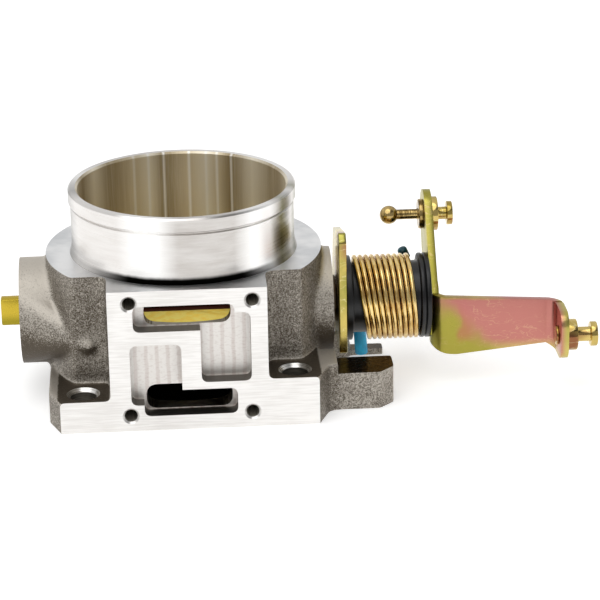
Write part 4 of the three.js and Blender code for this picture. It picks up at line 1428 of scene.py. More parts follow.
    def stop_block(self) -> list[bpy.types.Object]:
        """The stop block, the bar behind it and the lug of the idle screw."""
        inner, chamfer = self.block_inner_x, self.block_chamfer
        outline = [
            (inner, BLOCK_FRONT_Y),
            (BLOCK_END_X - chamfer, BLOCK_FRONT_Y),
            (BLOCK_END_X, BLOCK_FRONT_Y + chamfer),
            (BLOCK_END_X, BLOCK_BACK_Y),
            (inner, BLOCK_BACK_Y),
        ]
        block = Mesh.pushed("stop_block", outline, Axis.Z, -self.stock, self.block_top + self.stock)
        bar_height = (-self.stock, self.bar_top + self.stock)
        bar = Mesh.block("anchor_bar", (inner, self.bar_end_x), self.bar_y, bar_height)
        lug = Mesh.block("lug", (inner, self.lug_end_x), self.lug_y, (-self.stock, self.lug_top))
        return [block, bar, lug]

    def casting(self) -> bpy.types.Object:
        """The sand-cast skin with its natural fillets."""
        parts = [self.cast_column(), self.cast_flange(), self.raised_ear()]
        parts += self.bosses() + self.stop_block()
        skin = fused("throttle_housing_finished", parts, self.skin_grain, self.skin_passes)
        return paint(skin, CAST)

    def barrel(self) -> bpy.types.Object:
        """The turned inlet barrel with its bead, groove and flared foot."""
        under = self.inlet_top - self.rim_height
        groove = self.groove
        narrower, higher = self.foot_flare
        profile = [
            (0.0, SHAFT_Z),
            (self.neck_foot_r, SHAFT_Z),
            (self.neck_foot_r, self.shoulder_z),
            (self.neck_foot_r - narrower, self.shoulder_z + higher),
            (self.neck_r, self.shoulder_z + self.neck_foot_height),
            (self.neck_r, under - 2 * groove),
            (self.neck_r - groove, under - groove),
            (self.neck_r - groove, under),
            (self.rim_r - self.bead_low_edge, under),
            (self.rim_r, under + self.bead_low_edge),
            (self.rim_r, self.inlet_top - self.bead_top_edge),
            (self.rim_r - self.bead_top_edge, self.inlet_top),
            (0.0, self.inlet_top),
        ]
        return paint(Mesh.turned("barrel", profile, Axis.Z, segments=self.round_sides), NECK)

    def machine_faces(self, piece: bpy.types.Object) -> None:
        """Cuts the flat machined faces.

        Args:
            piece: the casting.
        """
        far = 2 * self.shoulder_r
        front = Mesh.block("front_cut", (-far, far), (-far, -self.face_y), (-far, far))
        base = Mesh.block("base_cut", (-far, far), (-far, far), (-far, 0.0))
        left = Mesh.block("left_cut", (-far, LEFT_FACE_X), (-far, far), (-far, far))
        right = rod("right_cut", self.boss_r + self.face_margin, (RIGHT_FACE_X, far), Axis.X, SHAFT_LINE)
        top_z = (self.block_top, 2 * self.block_top)
        top = Mesh.block("top_cut", (RIGHT_FACE_X, far), self.top_cut_y, top_z)
        bar = Mesh.block("bar_cut", (self.bar_cut_x, far), self.bar_cut_y, (self.bar_top, self.bar_cut_top))
        combine(piece, [paint(front, FACE), paint(base, FACE), paint(left, FACE)], "DIFFERENCE")
        # The block's top and the bar's top take SKIMMED's painted dark reflection and shade.
        combine(piece, [paint(right, FACE), paint(top, SKIMMED), paint(bar, SKIMMED)], "DIFFERENCE")
        inner = self.neck_r - 1.0
        shoulder = [
            (inner, self.shoulder_z),
            (far, self.shoulder_z),
            (far, self.inlet_top + CUT),
            (inner, self.inlet_top + CUT),
        ]
        combine(piece, [paint(Mesh.turned("shoulder_cut", shoulder, Axis.Z), TURNED)], "DIFFERENCE")

    def bore(self) -> bpy.types.Object:
        """The solid that bores the barrel and body."""
        edge = self.inlet_chamfer
        profile = [
            (0.0, -CUT),
            (self.bore_r + self.outlet_chamfer, -CUT),
            (self.bore_r + self.outlet_chamfer, 0.0),
            (self.bore_r, self.outlet_chamfer),
            (self.bore_r, self.taper_start),
            (self.inlet_r, self.taper_start + self.taper_height),
            (self.inlet_r, self.inlet_top - edge),
            (self.inlet_r + edge, self.inlet_top),
            (self.inlet_r + edge, self.inlet_top + CUT),
            (0.0, self.inlet_top + CUT),
        ]
        return paint(Mesh.turned("bore", profile, Axis.Z, segments=self.round_sides), BORED)

    def bolt_holes(self) -> list[bpy.types.Object]:
        """Tools for the bolt holes and their chamfers."""
        tools = []
        for side_x in (-1, 1):
            for side_y in (-1, 1):
                top = self.ear_height if side_x > 0 > side_y else self.flange_height
                wide = self.bolt_r + self.bolt_chamfer
                centre = (side_x * self.bolt_pitch / 2, side_y * self.bolt_pitch / 2, 0.0)
                rim = [
                    (0.0, top - self.bolt_chamfer),
                    (self.bolt_r, top - self.bolt_chamfer),
                    (wide, top - SLIVER),
                    (wide, top + CUT),
                    (0.0, top + CUT),
                ]
                tools.append(paint(Mesh.turned("bolt_rim", rim, Axis.Z, centre, 64), HOLE_RIM))
                span = (-CUT, top - self.bolt_chamfer + SLIVER)
                hole = rod("bolt_hole", self.bolt_r, span, Axis.Z, centre)
                tools.append(paint(hole, DRILLED))
        return tools

    def shaft_bores(self) -> list[bpy.types.Object]:
        """Tools for the shaft bore and the two bearing seats."""
        outer_left, outer_right = LEFT_FACE_X - CUT, RIGHT_FACE_X + CUT
        left_seat = (outer_left, LEFT_FACE_X + self.seat_depth)
        right_seat = (RIGHT_FACE_X - self.seat_depth, outer_right)
        tools = [
            rod("shaft_bore", self.shaft_bore_r, (outer_left, outer_right), Axis.X, SHAFT_LINE),
            rod("left_seat", self.seat_r, left_seat, Axis.X, SHAFT_LINE),
            rod("right_seat", self.seat_r, right_seat, Axis.X, SHAFT_LINE),
        ]
        for side in (-1, 1):
            centre = (0.0, 0.0, SHAFT_Z + side * self.sensor_half_pitch)
            span = (outer_left, LEFT_FACE_X + self.sensor_tap_depth)
            tools.append(rod("sensor_tap", self.sensor_tap_r, span, Axis.X, centre, segments=32))
        return [paint(tool, DRILLED) for tool in tools]

    def pad_taps(self) -> list[bpy.types.Object]:
        """Tools for the four tapped holes around the idle-air passages."""
        tools = []
        face = -self.face_y
        for side in (-1, 1):
            for shift, z in self.tap_rows:
                centre = (side * self.tap_half_pitch + shift, 0.0, z)
                rim: list[Point2] = [
                    (0.0, face - CUT),
                    (self.tap_rim_r, face - CUT),
                    (self.tap_rim_r, face),
                    (self.tap_mouth_r, face + self.tap_pitch),
                    (0.0, face + self.tap_pitch),
                ]
                along = face - 1.0
                thread: list[Point2] = [(0.0, along), (self.tap_crest_r, along)]
                while along < face + self.tap_depth:
                    thread += [
                        (self.tap_root_r, along + self.tap_pitch / 2),
                        (self.tap_crest_r, along + self.tap_pitch),
                    ]
                    along += self.tap_pitch
                thread += [(0.0, along + 1.0)]
                tools.append(paint(Mesh.turned("pad_tap_rim", rim, Axis.Y, centre, 32), FACE))
                tools.append(paint(Mesh.turned("pad_tap", thread, Axis.Y, centre, 32), DRILLED))
        return tools

    def air_passages(self) -> list[bpy.types.Object]:
        """Tools for the two idle-air pockets and the windows into the bore."""
        tools = []
        span = (-self.face_y - CUT, -self.face_y + self.air_depth)
        for (low, high), (left, right) in self.air_boxes:
            corners = [(low, left), (high, left), (high, right), (low, right)]
            tools.append(Mesh.pushed("air_pocket", rounded(corners, self.air_corner, 6), Axis.Y, *span))
        upper, upper_column, lower, lower_column = tools
        pockets = [combine(upper, [upper_column], "UNION"), combine(lower, [lower_column], "UNION")]
        windows = []
        half = self.window_half
        span = (-self.face_y - CUT, -self.bore_r / 2)
        for low, high in self.window_heights:
            corners = [(low, -half), (high, -half), (high, half), (low, half)]
            windows.append(Mesh.pushed("window", rounded(corners, self.window_corner, 8), Axis.Y, *span))
        return [paint(tool, POCKETED) for tool in pockets] + [paint(tool, DRILLED) for tool in windows]

    def idle_hole(self) -> bpy.types.Object:
        """Tool for the tapped hole of the idle screw."""
        centre = (STOP_X + SHEET / 2, self.idle_hole_y, 0.0)
        return paint(rod("idle_hole", self.idle_hole_r, (-CUT, self.idle_hole_top), Axis.Z, centre), DRILLED)

    def build(self) -> None:
        """Builds the housing and puts it in its node's place."""
        piece = self.casting()
        self.machine_faces(piece)
        combine(piece, [self.barrel()], "UNION")
        tools = [self.bore(), *self.bolt_holes(), *self.shaft_bores(), *self.pad_taps()]
        tools += [*self.air_passages(), self.idle_hole()]
        combine(piece, tools, "DIFFERENCE")
        shade(piece, 30.0)
        crisp = piece.modifiers.new("crisp", "WEIGHTED_NORMAL")
        crisp.keep_sharp = True
        crisp.weight = self.crispness
        apply_modifiers(piece)
        install(piece, "throttle_housing", Body.HOUSING)


# ------------------------------------------------------------------------------ shaft group
@dataclass
class ShaftGroup:
    """The shaft with its butterfly, screws, bearings and seals."""

    shaft_r: float = 5.0
    blade_length: float = 6.9
    blade_thickness: float = 4.6
    flat_half: float = 4.0
    plate_thickness: float = 2.5
    closed_degrees: float = 6.0
    plate_r: float = 30.88
    screw_x: float = 14.0
    peen_r: float = 5.6
    peen_end: float = 0.65
    shaft_edge: float = 0.25
    shaft_corner: float = 0.5
    slot_end_x: float = 31.08
    slot_clearance: float = 0.08
    screw_seat_r: float = 3.7
    screw_seat_z: float = 3.6
    screw_bore_r: float = 2.1
    screw_r: float = 2.0
    screw_tip: float = 0.3
    head_r: float = 3.4
    head_low_z: float = 3.65
    head_edge_z: float = 4.5
    head_dome: float = 0.95
    head_slot_half: float = 0.45
    head_slot_low_z: float = 4.55
    plate_edge: float = 0.15
    washer_r: Point2 = (5.05, 8.0)

    def tilted(self, piece: bpy.types.Object) -> bpy.types.Object:
        """Turns a piece made about the origin to the closed plate's angle, on the shaft axis."""
        lean = Matrix.Rotation(math.radians(self.closed_degrees), 4, "X")
        piece.data.transform(Matrix.Translation((0.0, 0.0, SHAFT_Z * MM)) @ lean)
        return piece

    def shaft(self) -> None:
        """Builds the shaft."""
        start = LEFT_FACE_X - self.blade_length
        end = LEVER_X + SHEET + self.peen_end
        low = LEVER_X + SHEET + FIT
        corners = [
            (0.0, start),
            (self.shaft_r, start),
            (self.shaft_r, low),
            (self.peen_r, low),
            (self.peen_r, end),
            (0.0, end),
        ]
        profile = rounded(corners, self.shaft_corner, 3, closed=False)
        piece = paint(Mesh.turned("throttle_shaft_finished", profile, Axis.X, SHAFT_LINE, 64), SHAFT_ZINC)
        wide = self.shaft_r + CUT
        tools = []
        full = (SHAFT_Z - wide, SHAFT_Z + wide)
        blade_x = (start - CUT, LEFT_FACE_X - FIT)
        flats_x = (STOP_X - FIT, LEVER_X + SHEET)
        for side in (-1, 1):
            across = sorted((side * self.blade_thickness / 2, side * wide))
            tools.append(Mesh.block("blade_side", blade_x, tuple(across), full))
            up = sorted((SHAFT_Z + side * self.flat_half, SHAFT_Z + side * wide))
            tools.append(Mesh.block("driving_flat", flats_x, (-wide, wide), tuple(up)))
        slot_half = self.plate_thickness / 2 + self.slot_clearance
        slot_x = (-self.slot_end_x, self.slot_end_x)
        tools.append(self.tilted(Mesh.block("slot", slot_x, (-wide, wide), (-slot_half, slot_half))))
        for side in (-1, 1):
            centre = (side * self.screw_x, 0.0, 0.0)
            seat_span = (self.screw_seat_z, wide)
            seat = rod("screw_seat", self.screw_seat_r, seat_span, Axis.Z, centre, segments=40)
            bore = rod("screw_bore", self.screw_bore_r, (-wide, wide), Axis.Z, centre, segments=32)
            tools += [self.tilted(seat), self.tilted(bore)]
        combine(piece, [paint(tool, SHAFT_ZINC) for tool in tools], "DIFFERENCE")
        shade(soften(piece, self.shaft_edge))
        install(piece, "throttle_shaft", Body.THROTTLE)

    def butterfly(self) -> None:
        """Builds the plate that closes the bore at a small angle."""
        reach = self.plate_r / 4
        span = (SHAFT_Z - reach, SHAFT_Z + reach)
        disc = rod("throttle_plate_finished", self.plate_r, span, Axis.Z, segments=160)
        paint(disc, GOLD_PLATE)
        half = self.plate_thickness / 2
        far = 2 * self.plate_r
        above = Mesh.block("above", (-far, far), (-far, far), (half, far))
        below = Mesh.block("below", (-far, far), (-far, far), (-far, -half))
        cuts = [self.tilted(above), self.tilted(below)]
        for side in (-1, 1):
            centre = (side * self.screw_x, 0.0, 0.0)
            hole = rod("hole", self.screw_bore_r, (-CUT - half, CUT + half), Axis.Z, centre, segments=32)
            cuts.append(self.tilted(hole))
        combine(disc, [paint(tool, GOLD_PLATE) for tool in cuts], "DIFFERENCE")
        shade(soften(disc, self.plate_edge))
        install(disc, "throttle_plate", Body.THROTTLE)

    def screws(self) -> None:
        """Builds the two slotted plate screws."""
        low = -self.shaft_r
        dome = []
        for turn in range(1, 7):
            angle = turn * math.pi / 12
            inward = self.head_r / 2 * (1 - math.cos(angle))
            dome.append((self.head_r - inward, self.head_edge_z + self.head_dome * math.sin(angle)))
        profile = [
            (0.0, low),
            (self.screw_r - self.screw_tip, low),
            (self.screw_r, low + self.screw_tip),
            (self.screw_r, self.head_low_z),
            (self.head_r, self.head_low_z),
            (self.head_r, self.head_edge_z),
            *dome,
            (0.0, self.head_edge_z + self.head_dome),
        ]
        for number, side in enumerate((-1, 1), start=1):
            centre = (side * self.screw_x, 0.0, 0.0)
            name = f"plate_screw_{number}_finished"
            screw = paint(Mesh.turned(name, profile, Axis.Z, centre, 40), STEEL)
            slot_x = (centre[0] - self.head_r - 0.6, centre[0] + self.head_r + 0.6)
            slot_y = (-self.head_slot_half, self.head_slot_half)
            slot = Mesh.block("slot", slot_x, slot_y, (self.head_slot_low_z, self.head_slot_low_z + CUT))
            combine(screw, [paint(slot, STEEL)], "DIFFERENCE")
            shade(self.tilted(screw))
            install(screw, f"plate_screw_{number}", Body.THROTTLE)

    def washer(self) -> None:
        """Builds the thrust washer between the housing and the stop plate."""
        low, high = box_mm("thrust_washer")
        inner, outer = self.washer_r
        corners = [(inner, low.x), (outer, low.x), (outer, high.x), (inner, high.x)]
        profile = rounded(corners, self.shaft_edge, 2)
        washer = Mesh.turned("thrust_washer_finished", profile, Axis.X, SHAFT_LINE, 64)
        shade(paint(washer, DARK_STEEL))
        install(washer, "thrust_washer", Body.THROTTLE)

    def seals(self) -> None:
        """Builds the two lipped shaft seals."""
        for side, away in (("left", -1), ("right", 1)):
            low, high = box_mm(f"shaft_seal_{side}")
            outer, inner = (low.x, high.x) if away < 0 else (high.x, low.x)
            profile = rounded(
                [(5.15, outer - away * 1.2), (6.6, outer - away * 0.9), (7.4, outer), (9.45, outer),
                 (9.45, inner), (5.15, inner)], 0.3, 2)
            seal = Mesh.turned(f"shaft_seal_{side}_finished", profile, Axis.X, SHAFT_LINE, 64)
            shade(paint(seal, SEAL))
            install(seal, f"shaft_seal_{side}", Body.HOUSING)

    def build(self) -> None:
        """Builds the whole group."""
        self.shaft()
        self.butterfly()
        self.screws()
        self.washer()
        self.seals()
        for side in ("left", "right"):
            keep(f"bearing_{side}_outer_race", STEEL)
            keep(f"bearing_{side}_inner_race", STEEL)
        keep("shaft_retaining_ring", DARK_STEEL)


# ------------------------------------------------------------------------------ stops
@dataclass
class Stops:
    """The stop plate on the shaft and the idle stop screw on the housing."""

    plate_edge: float = 0.35
    corner: float = 1.6
    plate_corners: tuple[Point2, ...] = (
        (-18.0, -13.6),
        (-13.0, -13.6),
        (-6.5, -13.0),
        (6.5, -13.0),
        (13.0, -6.0),
        (22.5, -6.0),
        (22.5, 2.0),
        (13.0, 4.6),
        (8.0, 23.0),
        (-15.4, 28.8),
        (-18.0, 26.2),
    )
    screw_r: float = 2.5
    socket_r: float = 1.25
    socket_depth: float = 2.2
    thread_pitch: float = 0.8
    thread_depth: float = 0.4
    thread_start: float = 0.3
    thread_lead: float = 0.35
    plain_tip: float = 2.4
    tip_r: Point2 = (1.3, 0.6)
    tip_edges: Point2 = (1.2, 0.3)
    nut_edge: float = 0.4

    def stop_plate(self) -> None:
        """Builds the stop plate."""
        corners = [(y, SHAFT_Z + z) for y, z in self.plate_corners]
        outline = rounded(corners, self.corner, 5)
        plate = Mesh.pushed("stop_plate_finished", outline, Axis.X, STOP_X, STOP_X + SHEET)
        soften(plate, self.plate_edge, 3, 50.0)
        shade(paint(plate, ZINC))
        install(plate, "stop_plate", Body.THROTTLE)

    def idle_screw(self) -> None:
        """Builds the threaded idle screw with its rounded tip."""
        low, high = box_mm("idle_stop_screw")
        centre = ((low.x + high.x) / 2, (low.y + high.y) / 2, 0.0)
        radius, root = self.screw_r, self.screw_r - self.thread_depth
        profile: list[Point2] = [
            (0.0, low.z + self.socket_depth),
            (self.socket_r, low.z + self.socket_depth),
            (self.socket_r, low.z),
            (radius - self.thread_lead, low.z),
        ]
        height = low.z + self.thread_start
        while height < high.z - self.plain_tip:
            profile += [(radius, height), (root, height + self.thread_pitch / 2)]
            height += self.thread_pitch
        wide, narrow = self.tip_r
        lower, upper = self.tip_edges
        profile += [(root, high.z - lower), (wide, high.z - upper), (narrow, high.z), (0.0, high.z)]
        screw = Mesh.turned("idle_stop_screw_finished", profile, Axis.Z, centre, 48)
        shade(paint(screw, DARK_STEEL), 25.0)
        install(screw, "idle_stop_screw", Body.HOUSING)

    def locknut(self) -> None:
        """Builds the locknut."""
        nut = refined("idle_stop_locknut_finished", "idle_stop_locknut", self.nut_edge, STEEL)
        install(nut, "idle_stop_locknut", Body.HOUSING)

    def build(self) -> None:
        """Builds the whole group."""
        self.stop_plate()
        self.idle_screw()
        self.locknut()


# ------------------------------------------------------------------------------ spring group
@dataclass
class SpringGroup:
    """The return spring, its two bushings, its sleeves and the spacer."""

    steps_per_turn: int = 48
    fixed_leg: float = 26.4
    fixed_lean: float = 1.8
    free_leg: float = 6.0
    free_rise: float = 5.4
    free_lean: float = 2.4
    lip_r: float = 14.5
    core_r: float = 12.0
    left_bush_r: float = 6.1
    right_bush_r: float = 6.05
    split_half: float = 0.15
    groove_start: float = 1.3
    groove_step: float = 0.3
    groove_depth: float = 0.7
    bush_corner: float = 0.45
    sleeve_r: float = 2.2
    sleeve_length: float = 17.0
    sleeve_corner: float = 0.4
    cap_r: float = 1.7
    cap_start: float = 0.52
    cap_top: tuple[Point2, ...] = ((1.7, 0.4), (1.35, 0.95), (0.75, 1.22), (0.0, 1.27))

    def path(self) -> list[Point3]:
        """The wire's centre line from the end of the fixed leg to the end of the free leg."""
        points: list[Point3] = []
        for step in range(12):
            share = 1 - step / 12
            points.append((COIL_START_X + self.fixed_lean * share, COIL_R, SHAFT_Z - self.fixed_leg * share))
        total = COIL_TURNS * self.steps_per_turn
        for step in range(total + 1):
            angle = math.tau * step / self.steps_per_turn
            tilt = TILT_START + (TILT_END - TILT_START) * step / total
            up = COIL_R * math.sin(angle)
            x = COIL_START_X + COIL_PITCH * step / self.steps_per_turn - tilt * up
            points.append((x, COIL_R * math.cos(angle), SHAFT_Z + up))
        for step in range(1, 5):
            points.append((COIL_END_X, COIL_R, SHAFT_Z + self.free_leg * step / 4))
        for step in range(1, 7):
            share = step / 6
            height = SHAFT_Z + self.free_leg + self.free_rise * share
            points.append((COIL_END_X - self.free_lean * share, COIL_R, height))
        return points

    def spring(self) -> None:
        """Builds the wire, which winds from the housing to the lever."""
        wire = Mesh.tube("return_spring_finished", self.path(), WIRE_R, 16)
        shade(paint(wire, SPRING_BRONZE), 60.0)
        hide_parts("return_spring")
        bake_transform(wire)
        LOG.info("%s winds from the housing to the throttle", wire.name)

    def bushings(self) -> None:
        """Builds the two flanged nylon bushings."""
        near, far = LEFT_BUSH_X, RIGHT_BUSH_X + RIGHT_BUSH_FLANGE
        split = (LEFT_BUSH_X + RIGHT_BUSH_X) / 2
        lip, core = self.lip_r, self.core_r
        low, high = near + LEFT_BUSH_FLANGE, RIGHT_BUSH_X
        groove = high + self.groove_start
        left = [
            (self.left_bush_r, near),
            (lip, near),
            (lip, low),
            (core, low),
            (core, split - self.split_half),
            (self.left_bush_r, split - self.split_half),
        ]
        right = [
            (self.right_bush_r, split + self.split_half),
            (core, split + self.split_half),
            (core, high),
            (lip, high),
            (lip, groove),
            (lip - self.groove_depth, groove + self.groove_step),
            (lip, groove + 2 * self.groove_step),
            (lip, far),
            (self.right_bush_r, far),
        ]
        for side, profile, body in (("left", left, Body.HOUSING), ("right", right, Body.THROTTLE)):
            name = f"spring_bushing_{side}"
            outline = rounded(profile, self.bush_corner, 4)
            made = Mesh.turned(f"{name}_finished", outline, Axis.X, SHAFT_LINE, 96)
            shade(paint(made, NYLON))
            install(made, name, body)

    def sleeves(self) -> None:
        """Builds the sleeve on each leg of the wire."""
        inner = WIRE_R + SLIVER
        outer = self.sleeve_r
        bottom = -self.fixed_leg + FIT
        top = bottom + self.sleeve_length
        corners = [(inner, bottom), (outer, bottom), (outer, top), (inner, top)]
        profile = rounded(corners, self.sleeve_corner, 3)
        fixed = Mesh.turned("spring_sleeve_fixed_finished", profile, Axis.Z, segments=40)
        slant = Matrix.Rotation(-math.atan2(self.fixed_lean, self.fixed_leg), 4, "Y")
        foot = Vector((COIL_START_X, COIL_R, SHAFT_Z)) * MM
        fixed.data.transform(Matrix.Translation(foot) @ slant)
        shade(paint(fixed, BLUE_SLEEVE))
        install(fixed, "spring_sleeve_fixed", Body.HOUSING)
        length = math.hypot(self.free_rise, self.free_lean)
        start = length * self.cap_start
        cap: list[Point2] = [
            (0.0, length + SLIVER),
            (inner, length + SLIVER),
            (inner, start),
            (self.cap_r, start),
            *((radius, length + above) for radius, above in self.cap_top),
        ]
        free = Mesh.turned("spring_sleeve_free_finished", cap, Axis.Z, segments=40)
        lean = Matrix.Rotation(-math.atan2(self.free_lean, self.free_rise), 4, "Y")
        base = Vector((COIL_END_X, COIL_R, SHAFT_Z + self.free_leg)) * MM
        free.data.transform(Matrix.Translation(base) @ lean)
        shade(paint(free, TEAL_SLEEVE))
        install(free, "spring_sleeve_free", Body.THROTTLE)

    def build(self) -> None:
        """Builds the whole group."""
        self.spring()
        self.bushings()
        self.sleeves()
        keep("shaft_spacer", STEEL)


# ------------------------------------------------------------------------------ lever group
@dataclass
class LeverGroup:
    """The bent lever with its ball stud, link pin and cable stud."""

    bend_r: float = 3.0
    front_y: float = -12.6
    arm_end: float = 127.6
    arm_top: float = 3.7
    arm_top_drop: float = 3.0
    arm_low: float = -17.4
    arm_low_rise: float = 3.1
    arm_corner: float = 6.0
    tab_front: float = -27.0
    tab_low: float = -16.0
    tab_corner: float = 5.0
    link_y: float = 17.0
    link_z: float = 23.5
    link_r: float = 8.5
    hub_r: float = 13.0
    tang_y: float = COIL_R + WIRE_R + REST_GAP
    tang_length: float = 6.0
    tang_z: Point2 = (0.5, 6.5)
    cable_y: float = -20.0
    cable_z: float = -8.8
    edge: float = 0.32
    bend_steps: int = 16
    ball_x: float = -11.7
    ball_r: float = 3.2
    ball_cover: float = 147.0
    ball_steps: int = 14
    shank_r: float = 1.75
    stud_corner: float = 0.4
    ball_collar: tuple[Point2, ...] = (
        (1.75, -2.0),
        (2.1, -1.65),
        (4.85, -1.65),
        (5.15, -1.35),
        (5.15, -0.3),
        (4.9, -0.05),
        (2.5, -0.05),
        (2.5, 3.9),
        (0.0, 3.9),
    )
    pin_profile: tuple[Point2, ...] = (
        (0.0, 4.5),
        (2.55, 4.5),
        (2.55, 2.65),
        (5.9, 2.65),
        (5.9, 4.95),
        (2.2, 4.95),
        (2.2, 8.15),
        (4.1, 8.15),
        (4.1, 10.15),
        (0.0, 10.15),
    )
    cable_profile: tuple[Point2, ...] = (
        (0.0, -3.55),
        (3.3, -3.55),
        (3.3, -2.65),
        (2.5, -2.65),
        (2.5, 0.05),
        (5.3, 0.05),
        (5.3, 3.55),
        (2.5, 3.55),
        (2.5, 8.15),
        (4.2, 8.15),
        (4.2, 10.45),
        (0.0, 10.45),
    )

    def flat(self) -> bpy.types.Object:
        """The flat of the lever, whose upper end is round about the link stud."""
        bend = self.front_y + self.bend_r + SHEET
        lean = math.degrees(math.atan2(self.link_y, self.link_z))
        outline: list[Point2] = [
            (bend - CUT, self.arm_top),
            (bend - CUT, self.arm_low + self.arm_corner),
            (0.0, -self.hub_r),
            *arc((0.0, 0.0), self.hub_r, -90.0, 0.0, 20)[1:],
            (self.tang_y + SHEET, 0.0),
            (self.tang_y + SHEET, self.tang_z[1]),
            *arc((self.link_y, self.link_z), self.link_r, -lean, 180.0 - lean, 32),
        ]
        shifted = [(y, z + SHAFT_Z) for y, z in outline]
        return Mesh.pushed("lever_finished", shifted, Axis.X, LEVER_X, LEVER_X + SHEET)

    def strip(self) -> bpy.types.Object:
        """The bent strip: off the flat, along the arm and forward to the tab."""
        outer = self.bend_r + SHEET
        first = (LEVER_X + outer, self.front_y + outer)
        second = (self.arm_end - outer, self.front_y - self.bend_r)
        outline = [
            (LEVER_X, first[1] + CUT),
            *arc(first, outer, 180.0, 270.0, self.bend_steps),
            *arc(second, self.bend_r, 90.0, 0.0, self.bend_steps),
            (second[0] + self.bend_r, self.tab_front),
            (self.arm_end, self.tab_front),
            *arc(second, outer, 0.0, 90.0, self.bend_steps),
            *arc(first, self.bend_r, 270.0, 180.0, self.bend_steps),
            (LEVER_X + SHEET, first[1] + CUT),
        ]
        low, high = self.arm_low + SHAFT_Z - CUT, self.arm_top + SHAFT_Z + CUT
        return Mesh.pushed("strip", outline, Axis.Z, low, high)

    def arm_limits(self) -> bpy.types.Object:
        """The tapering outline of the arm, seen from the front."""
        end = self.arm_end + CUT
        corner = []
        for step in range(9):
            share = step / 8
            start = Vector((self.arm_low, LEVER_X + self.arm_corner + SHEET))
            middle = Vector((self.arm_low, LEVER_X))
            finish = Vector((self.arm_low + self.arm_corner, LEVER_X - CUT))
            corner.append(tuple(start.lerp(middle, share).lerp(middle.lerp(finish, share), share)))
        outline = [
            (self.arm_top, LEVER_X - CUT),
            (self.arm_top - self.arm_top_drop, end),
            (self.tab_low, end),
            (self.tab_low, self.arm_end - SHEET),
            (self.arm_low + self.arm_low_rise, self.arm_end - self.bend_r - SHEET),
            *corner,
        ]
        shifted = [(z + SHAFT_Z, x) for z, x in outline]
        return Mesh.pushed("arm_limits", shifted, Axis.Y, self.tab_front - CUT, CUT)

    def tab_limits(self) -> bpy.types.Object:
        """Everything of the arm that stays, with the tab's two front corners rounded."""
        low = self.tab_low + SHAFT_Z
        high = self.arm_top - self.arm_top_drop + SHAFT_Z
        corner = self.tab_corner
        centre = self.tab_front + corner
        bend = self.front_y - 1.0
        outline = [
            *arc((centre, low + corner), corner, 270.0, 180.0, 8),
            *arc((centre, high - corner), corner, 180.0, 90.0, 8),
            (bend, high),
            (bend, high + 2 * CUT),
            (CUT, high + 2 * CUT),
            (CUT, low - 3 * CUT),
            (bend, low - 3 * CUT),
            (bend, low),
        ]
        return Mesh.pushed("tab_limits", outline, Axis.X, LEVER_X - CUT, self.arm_end + CUT)

    def lever(self) -> None:
        """Builds the lever."""
        flat = self.flat()
        arm = self.strip()
        combine(arm, [self.arm_limits()], "INTERSECT")
        combine(arm, [self.tab_limits()], "INTERSECT")
        tang_x = (LEVER_X - self.tang_length, LEVER_X + SHEET / 2)
        tang_z = (SHAFT_Z + self.tang_z[0], SHAFT_Z + self.tang_z[1])
        tang = Mesh.block("tang", tang_x, (self.tang_y, self.tang_y + SHEET), tang_z)
        combine(flat, [arm, tang], "UNION")
        cleaned(flat.data, 0.5)
        soften(flat, self.edge, 3, 50.0)
        low = (LEVER_X * MM, 0.0, (SHAFT_Z + self.arm_low) * MM)
        high = (self.arm_end * MM, 0.0, (SHAFT_Z + self.arm_top) * MM)
        shade(paint(flat, ArmZinc(low, high)))
        install(flat, "throttle_lever", Body.THROTTLE)

    def ball_stud(self) -> None:
        """Builds the ball stud on the spring side of the lever."""
        radius = self.ball_r
        profile: list[Point2] = [(0.0, self.ball_x - radius)]
        for step in range(1, self.ball_steps + 1):
            angle = math.radians(-90.0 + self.ball_cover * step / self.ball_steps)
            profile.append((radius * math.cos(angle), self.ball_x + radius * math.sin(angle)))
        profile += [(self.shank_r, self.ball_x + radius), *self.ball_collar]
        centre = (LEVER_X, self.link_y, SHAFT_Z + self.link_z)
        stud = Mesh.turned("link_ball_stud_finished", profile, Axis.X, centre, 48)
        shade(paint(stud, STUD_BROWN))
        install(stud, "link_ball_stud", Body.THROTTLE)

    def link_pin(self) -> None:
        """Builds the headed pin on the outer side of the lever."""
        profile = rounded(self.pin_profile, self.stud_corner, 3, closed=False)
        centre = (LEVER_X, self.link_y, SHAFT_Z + self.link_z)
        pin = Mesh.turned("link_pin_finished", profile, Axis.X, centre, 48)
        shade(paint(pin, STUD_ZINC))
        install(pin, "link_pin", Body.THROTTLE)

    def cable_stud(self) -> None:
        """Builds the cable stud riveted through the tab."""
        profile = rounded(self.cable_profile, self.stud_corner, 3, closed=False)
        centre = (self.arm_end, self.cable_y, SHAFT_Z + self.cable_z)
        stud = Mesh.turned("cable_stud_finished", profile, Axis.X, centre, 48)
        shade(paint(stud, STUD_ZINC))
        install(stud, "cable_stud", Body.THROTTLE)

    def build(self) -> None:
        """Builds the whole group."""
        self.lever()
        self.ball_stud()
        self.link_pin()
        self.cable_stud()


